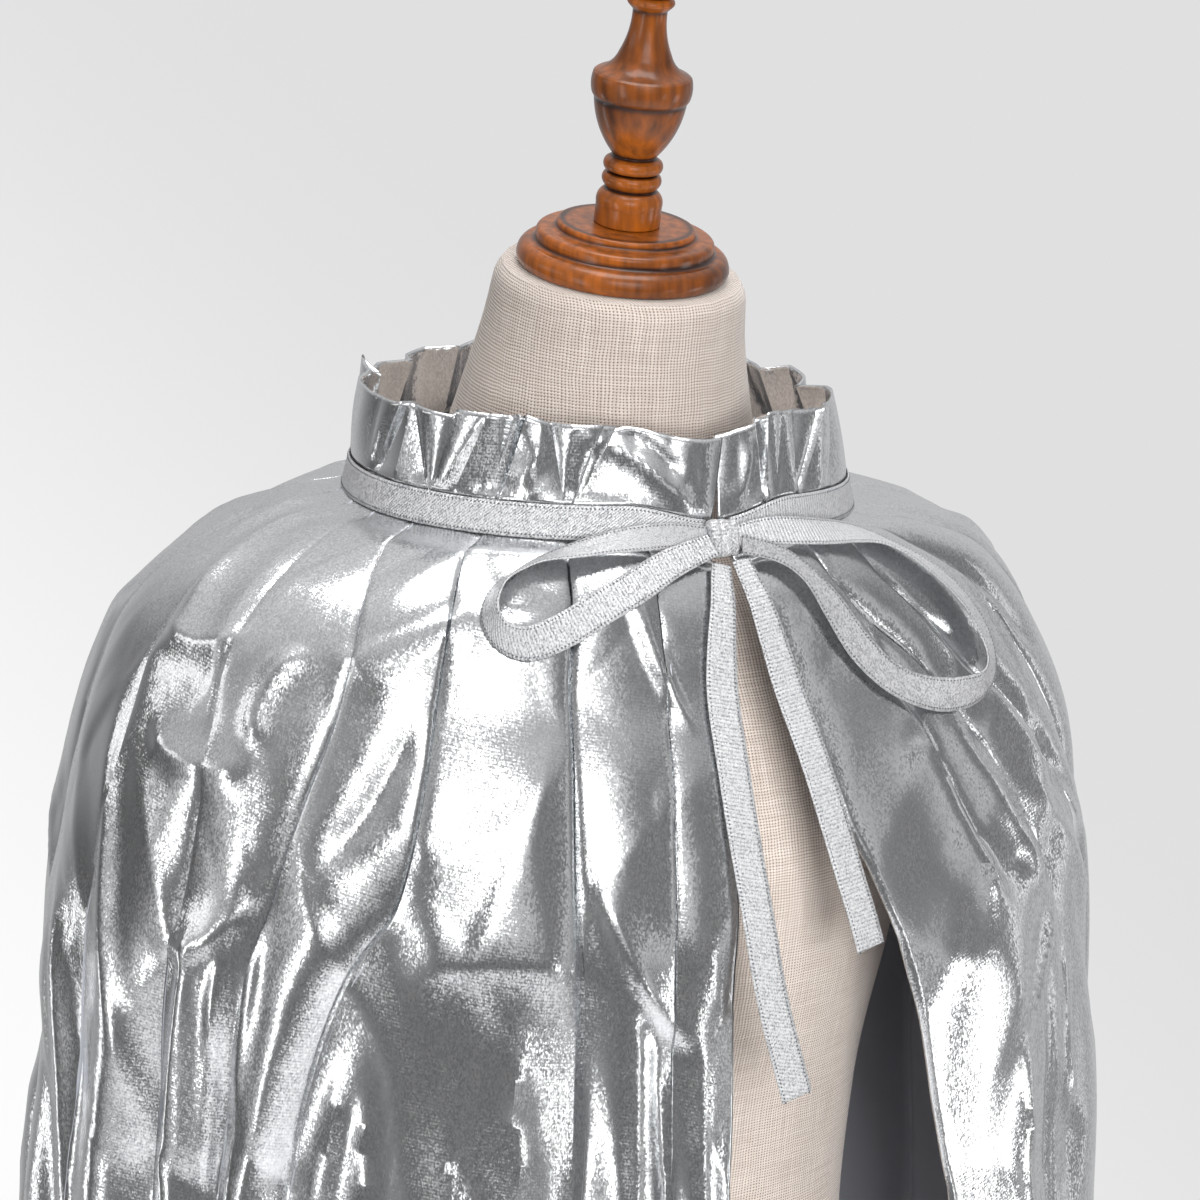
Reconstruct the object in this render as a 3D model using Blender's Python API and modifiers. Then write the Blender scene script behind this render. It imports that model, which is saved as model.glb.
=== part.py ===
"""A silver foil cape with a gathered neck frill and a ribbon bow, on a limbless linen dress form.

Metres, Z up. The front faces -Y and the wearer's left side is at +X. The origin is the middle of the
stand's foot, on the floor. Angles run from the front round by the wearer's left side.
"""
import math
from collections import namedtuple

import bmesh
import bpy
from mathutils import Matrix, Vector

for left_over in list(bpy.data.objects):
    bpy.data.objects.remove(left_over, do_unlink=True)

# Driving sizes of the cloth and the ribbon
CLOTH_THICK = 0.0012
FRILL_THICK = 0.0016
FRILL_HEIGHT = 0.035
RIBBON_THICK = 0.0010
SEAM_GAP = 0.0003
RIBBON_GAP = 0.0004
COLUMNS_PER_PUFF = 4
RIBBON_STEP_DEG = 5.0
RIBBON_END_DEG = 3.0

# Driving sizes of the stand and the turned wood
BASE_RADIUS = 0.190
BASE_THICK = 0.030
BASE_EDGE = 0.008
POLE_RADIUS = 0.016
NECK_CAP_STEPS = 28
FINIAL_STEPS = 20
FORM_COLUMNS = 40

# The cape's sections, level by level from the ribbon's top edge to the hem. Each is an ellipse whose
# plane falls towards the front by the tilt. The tucks are pressed in from it, and steps is the
# number of rows down to the next level.
Level = namedtuple("Level", "height half_width half_depth centre_y tilt tuck_depth puff_power steps")
CAPE_LEVELS = (
    Level(1.4055, 0.1140, 0.1000, 0.000, 0.14, 0.0018, 0.9, 1),
    Level(1.3910, 0.1172, 0.1035, 0.001, 0.14, 0.0024, 0.9, 2),
    Level(1.3850, 0.1480, 0.1170, 0.006, 0.12, 0.0045, 0.9, 2),
    Level(1.3710, 0.1850, 0.1330, 0.012, 0.11, 0.0065, 1.0, 1),
    Level(1.3550, 0.2068, 0.1455, 0.018, 0.10, 0.0075, 1.0, 1),
    Level(1.3360, 0.2215, 0.1560, 0.022, 0.09, 0.0080, 1.1, 1),
    Level(1.3010, 0.2360, 0.1690, 0.022, 0.06, 0.0090, 1.2, 1),
    Level(1.2520, 0.2482, 0.1810, 0.021, 0.03, 0.0100, 1.3, 1),
    Level(1.2140, 0.2537, 0.1880, 0.021, 0.01, 0.0110, 1.4, 1),
    Level(1.1440, 0.2570, 0.1970, 0.026, 0.00, 0.0125, 1.5, 1),
    Level(1.0790, 0.2610, 0.2050, 0.030, 0.00, 0.0140, 1.6, 3),
    Level(0.8000, 0.2750, 0.2220, 0.034, 0.00, 0.0180, 1.8, 4),
    Level(0.4500, 0.2950, 0.2450, 0.036, 0.00, 0.0230, 2.0, 0),
)
RIBBON_TOP = 0.0
SEAM_LEVEL = 0.14
RIBBON_FOOT = 1.0

# The bow's ribbons bridge the hollow under the neck ribbon, so they lie on sections without it.
BOW_LEVELS = (CAPE_LEVELS[0], *CAPE_LEVELS[2:])

# The tucks between the two front edges, in order round the neck: where each lies at the ribbon, at
# the chest and below it, in degrees, and how deep it is against its level's tuck depth.
Tuck = namedtuple("Tuck", "neck_deg chest_deg low_deg weight")
TUCKS = (
    Tuck(18, 18, 31, 0.9),
    Tuck(32, 28, 46, 1.2),
    Tuck(51, 48, 60, 1.0),
    Tuck(69, 67, 74, 0.6),
    Tuck(86, 86, 91, 1.2),
    Tuck(107, 108, 106, 0.8),
    Tuck(124, 125, 125, 0.6),
    Tuck(141, 143, 141, 1.3),
    Tuck(161, 160, 161, 0.7),
    Tuck(176, 178, 178, 1.2),
    Tuck(196, 196, 199, 0.9),
    Tuck(215, 215, 216, 1.3),
    Tuck(232, 233, 233, 0.6),
    Tuck(249, 251, 251, 1.1),
    Tuck(266, 270, 268, 0.7),
    Tuck(279, 289, 283, 1.2),
    Tuck(292, 307, 298, 0.9),
    Tuck(309, 321, 314, 1.0),
    Tuck(328, 337, 337, 1.3),
    Tuck(345, 348, 349, 0.6),
)
NECK_TUCK_HEIGHT = 1.391
CHEST_TUCK_HEIGHT = 1.300
LOW_TUCK_HEIGHT = 1.120
EDGE_WEIGHT = 0.3
PUFF_COUNT = len(TUCKS) + 1
LEFT_SEAM = 7
RIGHT_SEAM = 13

# How far each front edge stands from the middle of the front, going down.
FrontEdge = namedtuple("FrontEdge", "height right_x left_x")
FRONT_EDGES = (
    FrontEdge(1.4200, -0.0025, 0.0025),
    FrontEdge(1.3850, -0.0025, 0.0025),
    FrontEdge(1.3450, -0.0110, 0.0130),
    FrontEdge(1.3100, -0.0170, 0.0230),
    FrontEdge(1.2650, -0.0210, 0.0340),
    FrontEdge(1.2150, -0.0270, 0.0560),
    FrontEdge(1.1000, -0.0330, 0.0880),
    FrontEdge(0.4400, -0.0560, 0.1200),
)

# The frill's foot, which leans over the cape's upper edge, and its own upper edge
FRILL_FOOT_GAP = 0.0008
FRILL_TOP_HALF_WIDTH = 0.1085
FRILL_TOP_HALF_DEPTH = 0.0950
FRILL_TOP_CENTRE_Y = 0.009
FRILL_TOP_TILT = 0.125
FRILL_TOP_TUCK = 0.0090
FRILL_ROWS = 4

# The knot of the bow
KNOT_WIDTH = 0.013
KNOT_DEPTH = 0.008
KNOT_HEIGHT = 0.016
KNOT_ROUND = 0.003
KNOT_X = -0.001
KNOT_LEVEL = 0.55

# The routes of the bow's ribbons on the front of the cape: place across and height in millimetres,
# lift from the cloth, width of the ribbon, and roll out of the cloth's plane in degrees.
Stretch = namedtuple("Stretch", "x_mm height_mm lift_mm width_mm roll_deg")
BOW_LOOP_RIGHT = (
    Stretch(-8.2, 1383, 5.5, 10, 0),
    Stretch(-28, 1378, 5.0, 13, 0),
    Stretch(-46, 1371, 4.0, 15, 0),
    Stretch(-64, 1364, 3.0, 15, 0),
    Stretch(-83, 1356, 3.0, 15, 6),
    Stretch(-99, 1352, 5.0, 15, 28),
    Stretch(-109, 1357, 8.5, 15, 60),
    Stretch(-109, 1367, 8.5, 15, 60),
    Stretch(-97, 1375, 6.0, 15, 35),
    Stretch(-80, 1380, 3.2, 15, 12),
    Stretch(-52, 1386, 2.4, 14, 0),
    Stretch(-27, 1388, 2.4, 12, 0),
    Stretch(-8.2, 1386, 2.6, 10, 0),
)
BOW_LOOP_LEFT = (
    Stretch(6.0, 1386, 2.6, 10, 0),
    Stretch(24, 1387, 3.2, 13, 12),
    Stretch(48, 1384, 4.5, 15, 32),
    Stretch(76, 1378, 6.5, 15, 45),
    Stretch(104, 1364, 6.5, 15, 45),
    Stretch(124, 1348, 7.5, 15, 55),
    Stretch(134, 1332, 8.8, 15, 66),
    Stretch(130, 1318, 8.8, 15, 66),
    Stretch(116, 1312, 7.0, 15, 50),
    Stretch(97, 1312, 4.6, 15, 25),
    Stretch(78, 1317, 3.2, 15, 8),
    Stretch(62, 1329, 3.0, 15, 8),
    Stretch(50, 1345, 4.5, 15, 30),
    Stretch(39, 1364, 6.5, 14, 48),
    Stretch(24, 1376, 6.2, 12, 22),
    Stretch(6.0, 1382, 5.6, 9, 0),
)
RIBBON_TAIL_RIGHT = (
    Stretch(-5, 1375.9, 2.6, 9, 0),
    Stretch(-13, 1352, 2.6, 13, 0),
    Stretch(-18, 1325, 2.4, 15, 0),
    Stretch(-20, 1290, 2.4, 15, 0),
    Stretch(-19, 1250, 2.4, 15, 0),
    Stretch(-15, 1205, 2.4, 15, 0),
    Stretch(-3, 1156, 2.4, 15, 0),
)
RIBBON_TAIL_LEFT = (
    Stretch(4, 1376.6, 4.4, 9, 0),
    Stretch(9, 1350, 3.6, 13, 0),
    Stretch(15, 1320, 2.8, 15, 0),
    Stretch(22, 1286, 2.4, 15, 0),
    Stretch(29, 1250, 2.4, 15, 0),
    Stretch(37, 1215, 2.4, 15, 0),
)
STRETCH_STEPS = 3

# The linen form's sections, from its flat underside to the rim under the neck cap.
Section = namedtuple("Section", "height half_width front_depth back_depth centre_y tilt")
FORM_SECTIONS = (
    Section(0.800, 0.158, 0.098, 0.108, 0.004, 0.00),
    Section(0.806, 0.163, 0.103, 0.113, 0.004, 0.00),
    Section(0.880, 0.170, 0.110, 0.120, 0.004, 0.00),
    Section(0.960, 0.150, 0.100, 0.102, 0.004, 0.00),
    Section(1.040, 0.120, 0.086, 0.080, 0.004, 0.00),
    Section(1.120, 0.126, 0.096, 0.084, 0.004, 0.00),
    Section(1.190, 0.140, 0.116, 0.092, 0.004, 0.00),
    Section(1.240, 0.152, 0.124, 0.098, 0.004, 0.00),
    Section(1.290, 0.170, 0.112, 0.104, 0.004, 0.02),
    Section(1.325, 0.184, 0.098, 0.104, 0.005, 0.04),
    Section(1.3494, 0.188, 0.088, 0.100, 0.006, 0.06),
    Section(1.3647, 0.178, 0.079, 0.094, 0.007, 0.08),
    Section(1.3750, 0.150, 0.071, 0.086, 0.008, 0.09),
    Section(1.3821, 0.115, 0.067, 0.080, 0.007, 0.10),
    Section(1.391, 0.086, 0.065, 0.076, 0.004, 0.10),
    Section(1.4080, 0.0745, 0.0640, 0.0725, 0.000, 0.10),
    Section(1.4400, 0.0645, 0.0610, 0.0655, -0.006, 0.13),
    Section(1.4700, 0.0580, 0.0560, 0.0580, -0.013, 0.18),
    Section(1.4895, 0.0552, 0.0545, 0.0550, -0.018, 0.2126),
    Section(1.4945, 0.0522, 0.0515, 0.0520, -0.019, 0.2126),
)
FORM_FOOT = FORM_SECTIONS[0].height
NECK_RIM = FORM_SECTIONS[-1]

# Turned outlines, top to bottom in millimetres. A bulge is how far the stretch down to the next
# point swells out of the straight line, or hollows into it where it is negative.
Turning = namedtuple("Turning", "radius height bulge")
NECK_CAP_OUTLINE = (
    Turning(0, 21, 0),
    Turning(29.5, 21, 0.4),
    Turning(30.8, 19.5, 0),
    Turning(30.8, 18, 0),
    Turning(32.5, 17.2, 0),
    Turning(37.5, 16.8, 0.5),
    Turning(39.5, 14.5, 0),
    Turning(39.5, 11.5, -0.4),
    Turning(42.5, 10.6, 0.8),
    Turning(46.7, 6.4, 1.1),
    Turning(45, 0, 0),
    Turning(0, 0, 0),
)
FINIAL_OUTLINE = (
    Turning(0, 122, 3.9),
    Turning(10.4, 111.5, 3.4),
    Turning(7.2, 102.8, 0),
    Turning(9.4, 101.4, 1.1),
    Turning(9.4, 97.6, 0),
    Turning(7.6, 95.8, -1.2),
    Turning(11.6, 76.3, -1.5),
    Turning(20.2, 68, 0),
    Turning(21.6, 67, 0.7),
    Turning(21.6, 57.7, 0),
    Turning(20.4, 55.8, 2.2),
    Turning(9.4, 30.7, 0),
    Turning(12.4, 28.8, 0.8),
    Turning(12.4, 24.2, 0),
    Turning(10, 23.3, 0),
    Turning(12.4, 22.3, 0.8),
    Turning(12.4, 17.7, 0),
    Turning(11, 15.8, 1.5),
    Turning(14.6, 8.4, 0),
    Turning(14.6, 0, 0),
    Turning(0, 0, 0),
)
ARC_STEPS = 3


def material(name, colour, roughness, metallic):
    """A Principled material for one piece."""
    made = bpy.data.materials.new(name)
    made.use_nodes = True
    shader = made.node_tree.nodes["Principled BSDF"]
    shader.inputs["Base Color"].default_value = (*colour, 1.0)
    shader.inputs["Roughness"].default_value = roughness
    shader.inputs["Metallic"].default_value = metallic
    return made


def silver_foil(piece):
    return material(piece + "_silver_foil", (0.78, 0.79, 0.80), 0.18, 1.0)


def lurex_ribbon(piece):
    return material(piece + "_lurex_ribbon", (0.70, 0.71, 0.72), 0.40, 0.9)


def linen(piece):
    return material(piece + "_linen", (0.66, 0.58, 0.49), 0.90, 0.0)


def varnished_wood(piece):
    return material(piece + "_varnished_wood", (0.22, 0.065, 0.02), 0.25, 0.0)


def through(rows, place):
    """The row at a place between a table's rows, on a smooth curve through them."""
    index = min(int(place), len(rows) - 2)
    part = place - index
    before = rows[max(index - 1, 0)]
    start = rows[index]
    end = rows[index + 1]
    after = rows[min(index + 2, len(rows) - 1)]
    values = []
    for a, b, c, d in zip(before, start, end, after):
        leave = (c - a) / 2
        arrive = (d - b) / 2
        bend = 3 * (c - b) - 2 * leave - arrive
        turn = 2 * (b - c) + leave + arrive
        values.append(b + part * (leave + part * (bend + part * turn)))
    return type(start)(*values)


def front_edge_x(height):
    """Right and left front edge at a height."""
    for upper, lower in zip(FRONT_EDGES, FRONT_EDGES[1:]):
        if height >= lower.height:
            break
    part = (upper.height - height) / (upper.height - lower.height)
    part = max(0.0, min(1.0, part))
    right = upper.right_x + part * (lower.right_x - upper.right_x)
    left = upper.left_x + part * (lower.left_x - upper.left_x)
    return right, left


def ease(value):
    value = max(0.0, min(1.0, value))
    return value * value * (3 - 2 * value)


def tuck_angle(tuck, height):
    to_chest = ease((NECK_TUCK_HEIGHT - height) / (NECK_TUCK_HEIGHT - CHEST_TUCK_HEIGHT))
    to_low = ease((CHEST_TUCK_HEIGHT - height) / (CHEST_TUCK_HEIGHT - LOW_TUCK_HEIGHT))
    degrees = tuck.neck_deg + to_chest * (tuck.chest_deg - tuck.neck_deg)
    degrees += to_low * (tuck.low_deg - tuck.chest_deg)
    return math.radians(degrees)


def fold_line(number, level):
    """Angle and weight of a tuck, or of a front edge at either end of the count."""
    right_x, left_x = front_edge_x(level.height - level.tilt * level.half_depth)
    if number == 0:
        return math.asin(left_x / level.half_width), EDGE_WEIGHT
    if number == PUFF_COUNT:
        return math.tau + math.asin(right_x / level.half_width), EDGE_WEIGHT
    tuck = TUCKS[number - 1]
    return tuck_angle(tuck, level.height), tuck.weight


def fold_at(count, level):
    """Angle round the cape, and how far a tuck presses in, at a count of puffs from the left edge."""
    number = min(int(count), PUFF_COUNT - 1)
    part = count - number
    start, start_weight = fold_line(number, level)
    end, end_weight = fold_line(number + 1, level)
    weight = start_weight + part * (end_weight - start_weight)
    puff = max(0.0, math.sin(math.pi * part)) ** level.puff_power
    return start + part * (end - start), weight * level.tuck_depth * (1 - puff)


def ring_point(level, angle):
    y = level.centre_y - level.half_depth * math.cos(angle)
    return Vector((level.half_width * math.sin(angle), y, level.height + level.tilt * y))


def outside(levels, place, angle):
    """A point of the outer form through some levels, without tucks, and the way out from it."""
    reach = 0.02
    turn = math.radians(0.5)
    level = through(levels, place)
    above = ring_point(through(levels, max(0.0, place - reach)), angle)
    below = ring_point(through(levels, min(len(levels) - 1.0, place + reach)), angle)
    across = ring_point(level, angle + turn) - ring_point(level, angle - turn)
    return ring_point(level, angle), across.cross(above - below).normalized()


def bow_rest(x, height):
    """The point of the front that a ribbon rests on, at a place across and a height, and the way out."""
    high = 0.0
    low = len(BOW_LEVELS) - 1.0
    for _ in range(40):
        middle = (high + low) / 2
        level = through(BOW_LEVELS, middle)
        angle = math.asin(x / level.half_width)
        if ring_point(level, angle).z > height:
            high = middle
        else:
            low = middle
    return outside(BOW_LEVELS, middle, angle)


def sheet(name, rows, thick, side, finish):
    """A wall of cloth on rows of points that run round and down, thickened to one side."""
    form = bmesh.new()
    grid = [[form.verts.new(point) for point in row] for row in rows]
    for upper, lower in zip(grid, grid[1:]):
        for index in range(len(upper) - 1):
            form.faces.new((upper[index], lower[index], lower[index + 1], upper[index + 1]))
    mesh = bpy.data.meshes.new(name)
    form.to_mesh(mesh)
    form.free()
    mesh.shade_smooth()
    mesh.materials.append(finish(name))
    wall = bpy.data.objects.new(name, mesh)
    solidify = wall.modifiers.new("Wall", "SOLIDIFY")
    solidify.thickness = thick
    solidify.offset = side
    parts.objects.link(wall)
    return wall


def cape_panel(name, first, last):
    """One panel of the cape, from one count of puffs to another."""
    places = [SEAM_LEVEL]
    for index, level in enumerate(CAPE_LEVELS):
        for step in range(level.steps):
            place = index + (step + 1) / level.steps
            places.append(place)
    columns = (last - first) * COLUMNS_PER_PUFF
    rows = []
    for place in places:
        level = through(CAPE_LEVELS, place)
        row = []
        for column in range(columns + 1):
            angle, depth = fold_at(first + column / COLUMNS_PER_PUFF, level)
            if column == 0 and first > 0:
                angle += SEAM_GAP / 2 / level.half_depth
            if column == columns and last < PUFF_COUNT:
                angle -= SEAM_GAP / 2 / level.half_depth
            point, outward = outside(CAPE_LEVELS, place, angle)
            row.append(point - outward * depth)
        rows.append(row)
    return sheet(name, rows, CLOTH_THICK, -1, silver_foil)


def neck_frill():
    """The doubled heading that stands above the ribbon and flares between its tucks."""
    foot = through(CAPE_LEVELS, SEAM_LEVEL)
    rim = foot._replace(
        height=foot.height + FRILL_HEIGHT,
        half_width=FRILL_TOP_HALF_WIDTH,
        half_depth=FRILL_TOP_HALF_DEPTH,
        centre_y=FRILL_TOP_CENTRE_Y,
        tilt=FRILL_TOP_TILT,
        tuck_depth=FRILL_TOP_TUCK,
    )
    foot = foot._replace(
        height=foot.height + FRILL_FOOT_GAP,
        half_width=foot.half_width - RIBBON_GAP,
        half_depth=foot.half_depth - RIBBON_GAP,
    )
    rows = []
    for step in range(FRILL_ROWS, -1, -1):
        part = step / FRILL_ROWS
        level = Level(*(a + part * (b - a) for a, b in zip(foot, rim)))
        row = []
        for column in range(PUFF_COUNT * COLUMNS_PER_PUFF + 1):
            angle, depth = fold_at(column / COLUMNS_PER_PUFF, level)
            point = ring_point(level, angle)
            outward = Vector((math.sin(angle), -math.cos(angle), 0))
            row.append(point - outward * depth)
        rows.append(row)
    return sheet("neck_frill", rows, FRILL_THICK, -1, silver_foil)


def neck_ribbon():
    """The ribbon sewn round the neck, over the cape's gathers and the frill's foot."""
    steps = round((360 - 2 * RIBBON_END_DEG) / RIBBON_STEP_DEG)
    rows = []
    for place in (RIBBON_TOP, RIBBON_FOOT):
        row = []
        for step in range(steps + 1):
            angle = math.radians(RIBBON_END_DEG + (360 - 2 * RIBBON_END_DEG) * step / steps)
            point, outward = outside(CAPE_LEVELS, place, angle)
            row.append(point + outward * RIBBON_GAP)
        rows.append(row)
    return sheet("neck_ribbon", rows, RIBBON_THICK, 1, lurex_ribbon)


def bow_knot():
    """The knot, a rounded block that lies on the ribbon's front."""
    bpy.ops.mesh.primitive_cube_add(size=1)
    knot = bpy.context.object
    knot.name = "bow_knot"
    knot.data.name = "bow_knot"
    knot.data.transform(Matrix.Diagonal((KNOT_WIDTH, KNOT_DEPTH, KNOT_HEIGHT, 1)))
    bevel = knot.modifiers.new("Round", "BEVEL")
    bevel.width = KNOT_ROUND
    bevel.segments = 3
    level = through(CAPE_LEVELS, KNOT_LEVEL)
    point, outward = outside(CAPE_LEVELS, KNOT_LEVEL, math.asin(KNOT_X / level.half_width))
    lift = RIBBON_GAP + RIBBON_THICK + SEAM_GAP + KNOT_DEPTH / 2
    knot.location = point + outward * lift
    knot.rotation_euler = (-math.atan2(outward.z, -outward.y), 0, 0)
    knot.data.materials.append(lurex_ribbon("bow_knot"))
    for owner in list(knot.users_collection):
        owner.objects.unlink(knot)
    parts.objects.link(knot)
    return knot


def ribbon_stretch(name, route):
    """A length of ribbon along its route on the front of the cape."""
    count = (len(route) - 1) * STRETCH_STEPS
    path = []
    for index in range(count + 1):
        stretch = through(route, index / STRETCH_STEPS)
        point, outward = bow_rest(stretch.x_mm / 1000, stretch.height_mm / 1000)
        path.append((point + outward * stretch.lift_mm / 1000, outward, stretch))
    edges = [[], []]
    for index, (point, outward, stretch) in enumerate(path):
        along = path[min(index + 1, count)][0] - path[max(index - 1, 0)][0]
        flat = outward.cross(along).normalized()
        roll = math.radians(stretch.roll_deg)
        across = flat * math.cos(roll) + outward * math.sin(roll)
        half = across * stretch.width_mm / 2000
        edges[0].append(point - half)
        edges[1].append(point + half)
    return sheet(name, edges[::-1], RIBBON_THICK, 0, lurex_ribbon)


def form_torso():
    """The linen form: a loft through its sections, closed flat at the neck and the hip."""
    form = bmesh.new()
    rings = []
    for section in FORM_SECTIONS:
        ring = []
        for column in range(FORM_COLUMNS):
            angle = math.tau * column / FORM_COLUMNS
            depth = section.front_depth if math.cos(angle) > 0 else section.back_depth
            forward = depth * math.cos(angle)
            x = section.half_width * math.sin(angle)
            z = section.height - section.tilt * forward
            ring.append(form.verts.new((x, section.centre_y - forward, z)))
        rings.append(ring)
    for lower, upper in zip(rings, rings[1:]):
        for index in range(FORM_COLUMNS):
            after = (index + 1) % FORM_COLUMNS
            form.faces.new((lower[index], lower[after], upper[after], upper[index]))
    form.faces.new(rings[0][::-1])
    form.faces.new(rings[-1])
    mesh = bpy.data.meshes.new("form_torso")
    form.to_mesh(mesh)
    form.free()
    mesh.shade_smooth()
    mesh.set_sharp_from_angle(angle=math.radians(50))
    mesh.materials.append(linen("form_torso"))
    torso = bpy.data.objects.new("form_torso", mesh)
    parts.objects.link(torso)
    return torso


def turned_points(outline):
    """An outline's points in metres, with its bulges as arcs."""
    points = []
    for here, after in zip(outline, outline[1:]):
        start = Vector((here.radius, here.height))
        chord = Vector((after.radius, after.height)) - start
        swell = Vector((-chord.y, chord.x)).normalized() * here.bulge
        steps = ARC_STEPS if here.bulge else 1
        for step in range(steps):
            part = step / steps
            points.append((start + chord * part + swell * 4 * part * (1 - part)) / 1000)
    points.append(Vector((outline[-1].radius, outline[-1].height)) / 1000)
    return points


def turned(name, outline, steps, finish):
    """A piece turned on a lathe, standing on its own axis."""
    mesh = bpy.data.meshes.new(name)
    points = [(point.x, 0, point.y) for point in turned_points(outline)]
    mesh.from_pydata(points, [(i, i + 1) for i in range(len(points) - 1)], [])
    mesh.materials.append(finish(name))
    piece = bpy.data.objects.new(name, mesh)
    screw = piece.modifiers.new("Turn", "SCREW")
    screw.steps = steps
    screw.render_steps = steps
    screw.use_merge_vertices = True
    screw.merge_threshold = 0.00001
    screw.use_smooth_shade = True
    parts.objects.link(piece)
    return piece


def stand_pole():
    """A plain round pole from the foot to the form's underside."""
    foot = BASE_THICK + SEAM_GAP
    length = FORM_FOOT - SEAM_GAP - foot
    bpy.ops.mesh.primitive_cylinder_add(vertices=24, radius=POLE_RADIUS, depth=length)
    return placed_primitive("stand_pole", foot + length / 2)


def stand_base():
    """A plain round foot, wide enough to keep the form upright."""
    bpy.ops.mesh.primitive_cylinder_add(vertices=40, radius=BASE_RADIUS, depth=BASE_THICK)
    base = placed_primitive("stand_base", BASE_THICK / 2)
    bevel = base.modifiers.new("Round", "BEVEL")
    bevel.width = BASE_EDGE
    bevel.segments = 2
    bevel.limit_method = "ANGLE"
    bevel.angle_limit = math.radians(50)
    return base


def placed_primitive(name, height):
    piece = bpy.context.object
    piece.name = name
    piece.data.name = name
    piece.location = (0, 0, height)
    piece.data.shade_smooth()
    piece.data.set_sharp_from_angle(angle=math.radians(50))
    piece.data.materials.append(varnished_wood(name))
    for owner in list(piece.users_collection):
        owner.objects.unlink(piece)
    parts.objects.link(piece)
    return piece


parts = bpy.data.collections.new("Foil cape on a dress form")
bpy.context.scene.collection.children.link(parts)

stand_base()
stand_pole()
form_torso()

# The neck cap and the finial stand square on the neck's leaning rim.
neck_lean = math.atan(NECK_RIM.tilt)
neck_axis = Vector((0, -math.sin(neck_lean), math.cos(neck_lean)))
neck_middle = Vector((0, NECK_RIM.centre_y, NECK_RIM.height))
cap = turned("neck_cap", NECK_CAP_OUTLINE, NECK_CAP_STEPS, varnished_wood)
cap.location = neck_middle + neck_axis * SEAM_GAP
cap.rotation_euler = (neck_lean, 0, 0)
cap_height = NECK_CAP_OUTLINE[0].height / 1000
top = turned("finial", FINIAL_OUTLINE, FINIAL_STEPS, varnished_wood)
top.location = cap.location + neck_axis * (cap_height + SEAM_GAP)
top.rotation_euler = (neck_lean, 0, 0)

cape_panel("cape_front_left", 0, LEFT_SEAM)
cape_panel("cape_back", LEFT_SEAM, RIGHT_SEAM)
cape_panel("cape_front_right", RIGHT_SEAM, PUFF_COUNT)
neck_frill()
neck_ribbon()
bow_knot()
ribbon_stretch("bow_loop_right", BOW_LOOP_RIGHT)
ribbon_stretch("bow_loop_left", BOW_LOOP_LEFT)
ribbon_stretch("ribbon_tail_right", RIBBON_TAIL_RIGHT)
ribbon_stretch("ribbon_tail_left", RIBBON_TAIL_LEFT)
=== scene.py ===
# A silver foil cape with a gathered neck frill and a ribbon bow, on a limbless linen dress form.
# Metres, Z up, the front towards -Y and the wearer's left at +X. Angles run from the front round by
# the wearer's left side.
import math
from collections import namedtuple

import bmesh
import bpy
import numpy as np
from mathutils import Matrix, Vector
from mathutils.bvhtree import BVHTree


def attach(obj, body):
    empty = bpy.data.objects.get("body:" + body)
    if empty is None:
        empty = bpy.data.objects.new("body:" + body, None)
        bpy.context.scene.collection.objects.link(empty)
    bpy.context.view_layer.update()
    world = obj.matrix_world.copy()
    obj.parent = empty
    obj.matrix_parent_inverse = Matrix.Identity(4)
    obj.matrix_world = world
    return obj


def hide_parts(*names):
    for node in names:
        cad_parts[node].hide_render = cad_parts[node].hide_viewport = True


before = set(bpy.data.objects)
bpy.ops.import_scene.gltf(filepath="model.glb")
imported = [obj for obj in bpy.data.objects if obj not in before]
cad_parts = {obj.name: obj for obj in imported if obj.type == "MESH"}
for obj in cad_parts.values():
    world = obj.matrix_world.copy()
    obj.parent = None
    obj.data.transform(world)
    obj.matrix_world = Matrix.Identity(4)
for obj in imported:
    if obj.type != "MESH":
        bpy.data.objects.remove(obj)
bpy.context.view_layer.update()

# Foot and pole of the stand: a plain disc and a plain rod, turned from red-brown wood, stained and
# varnished. The rod stands in the middle of the disc and carries the form.
SEAM_GAP = 0.0003
BASE_THICK = 0.030
Turning = namedtuple("Turning", "radius height bulge")
BASE_OUTLINE = (
    Turning(0, 30, 0),
    Turning(178, 30, 0),
    Turning(182, 30, 2.3),
    Turning(190, 22, 0),
    Turning(190, 6, 1.2),
    Turning(186, 0, 0),
    Turning(0, 0, 0),
)
POLE_OUTLINE = (
    Turning(0, 769.4, 0),
    Turning(15.2, 769.4, 0.3),
    Turning(16, 768.6, 0),
    Turning(16, 400, 0),
    Turning(16, 0.8, 0.3),
    Turning(15.2, 0, 0),
    Turning(0, 0, 0),
)
WOOD_LIGHT = "#9d520d"
WOOD_DARK = "#50290a"
# Dark stain for random patches, also used as painted shade in the grooves.
WOOD_STAIN_AND_SHADE = "#260e05"
# Painted shade in the grooves: how far along the outline each spot's surroundings reach, and how deep a
# groove must be for full shade.
GROOVE_SHADE_REACH = 0.0022
GROOVE_SHADE_DEPTH = 0.0006
# Streaks to a metre across and along the grain, which runs up the wood a little askew, and patches.
WOOD_STREAKS = (240, 240, 14)
WOOD_ASKEW = (0.05, 0.08, 0.6)
WOOD_PATCHES = 20.0


def linear(hex_colour):
    """An sRGB hex colour as the linear colour that a shader takes."""
    channels = [int(hex_colour[place:place + 2], 16) / 255 for place in (1, 3, 5)]
    lit = [c / 12.92 if c <= 0.04045 else ((c + 0.055) / 1.055) ** 2.4 for c in channels]
    return (*lit, 1.0)


def feed(tree, node, inputs):
    """Each input of a node either linked to a socket or set to a value."""
    for socket, value in inputs.items():
        if isinstance(value, bpy.types.NodeSocket):
            tree.links.new(value, node.inputs[socket])
        else:
            node.inputs[socket].default_value = value


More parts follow.
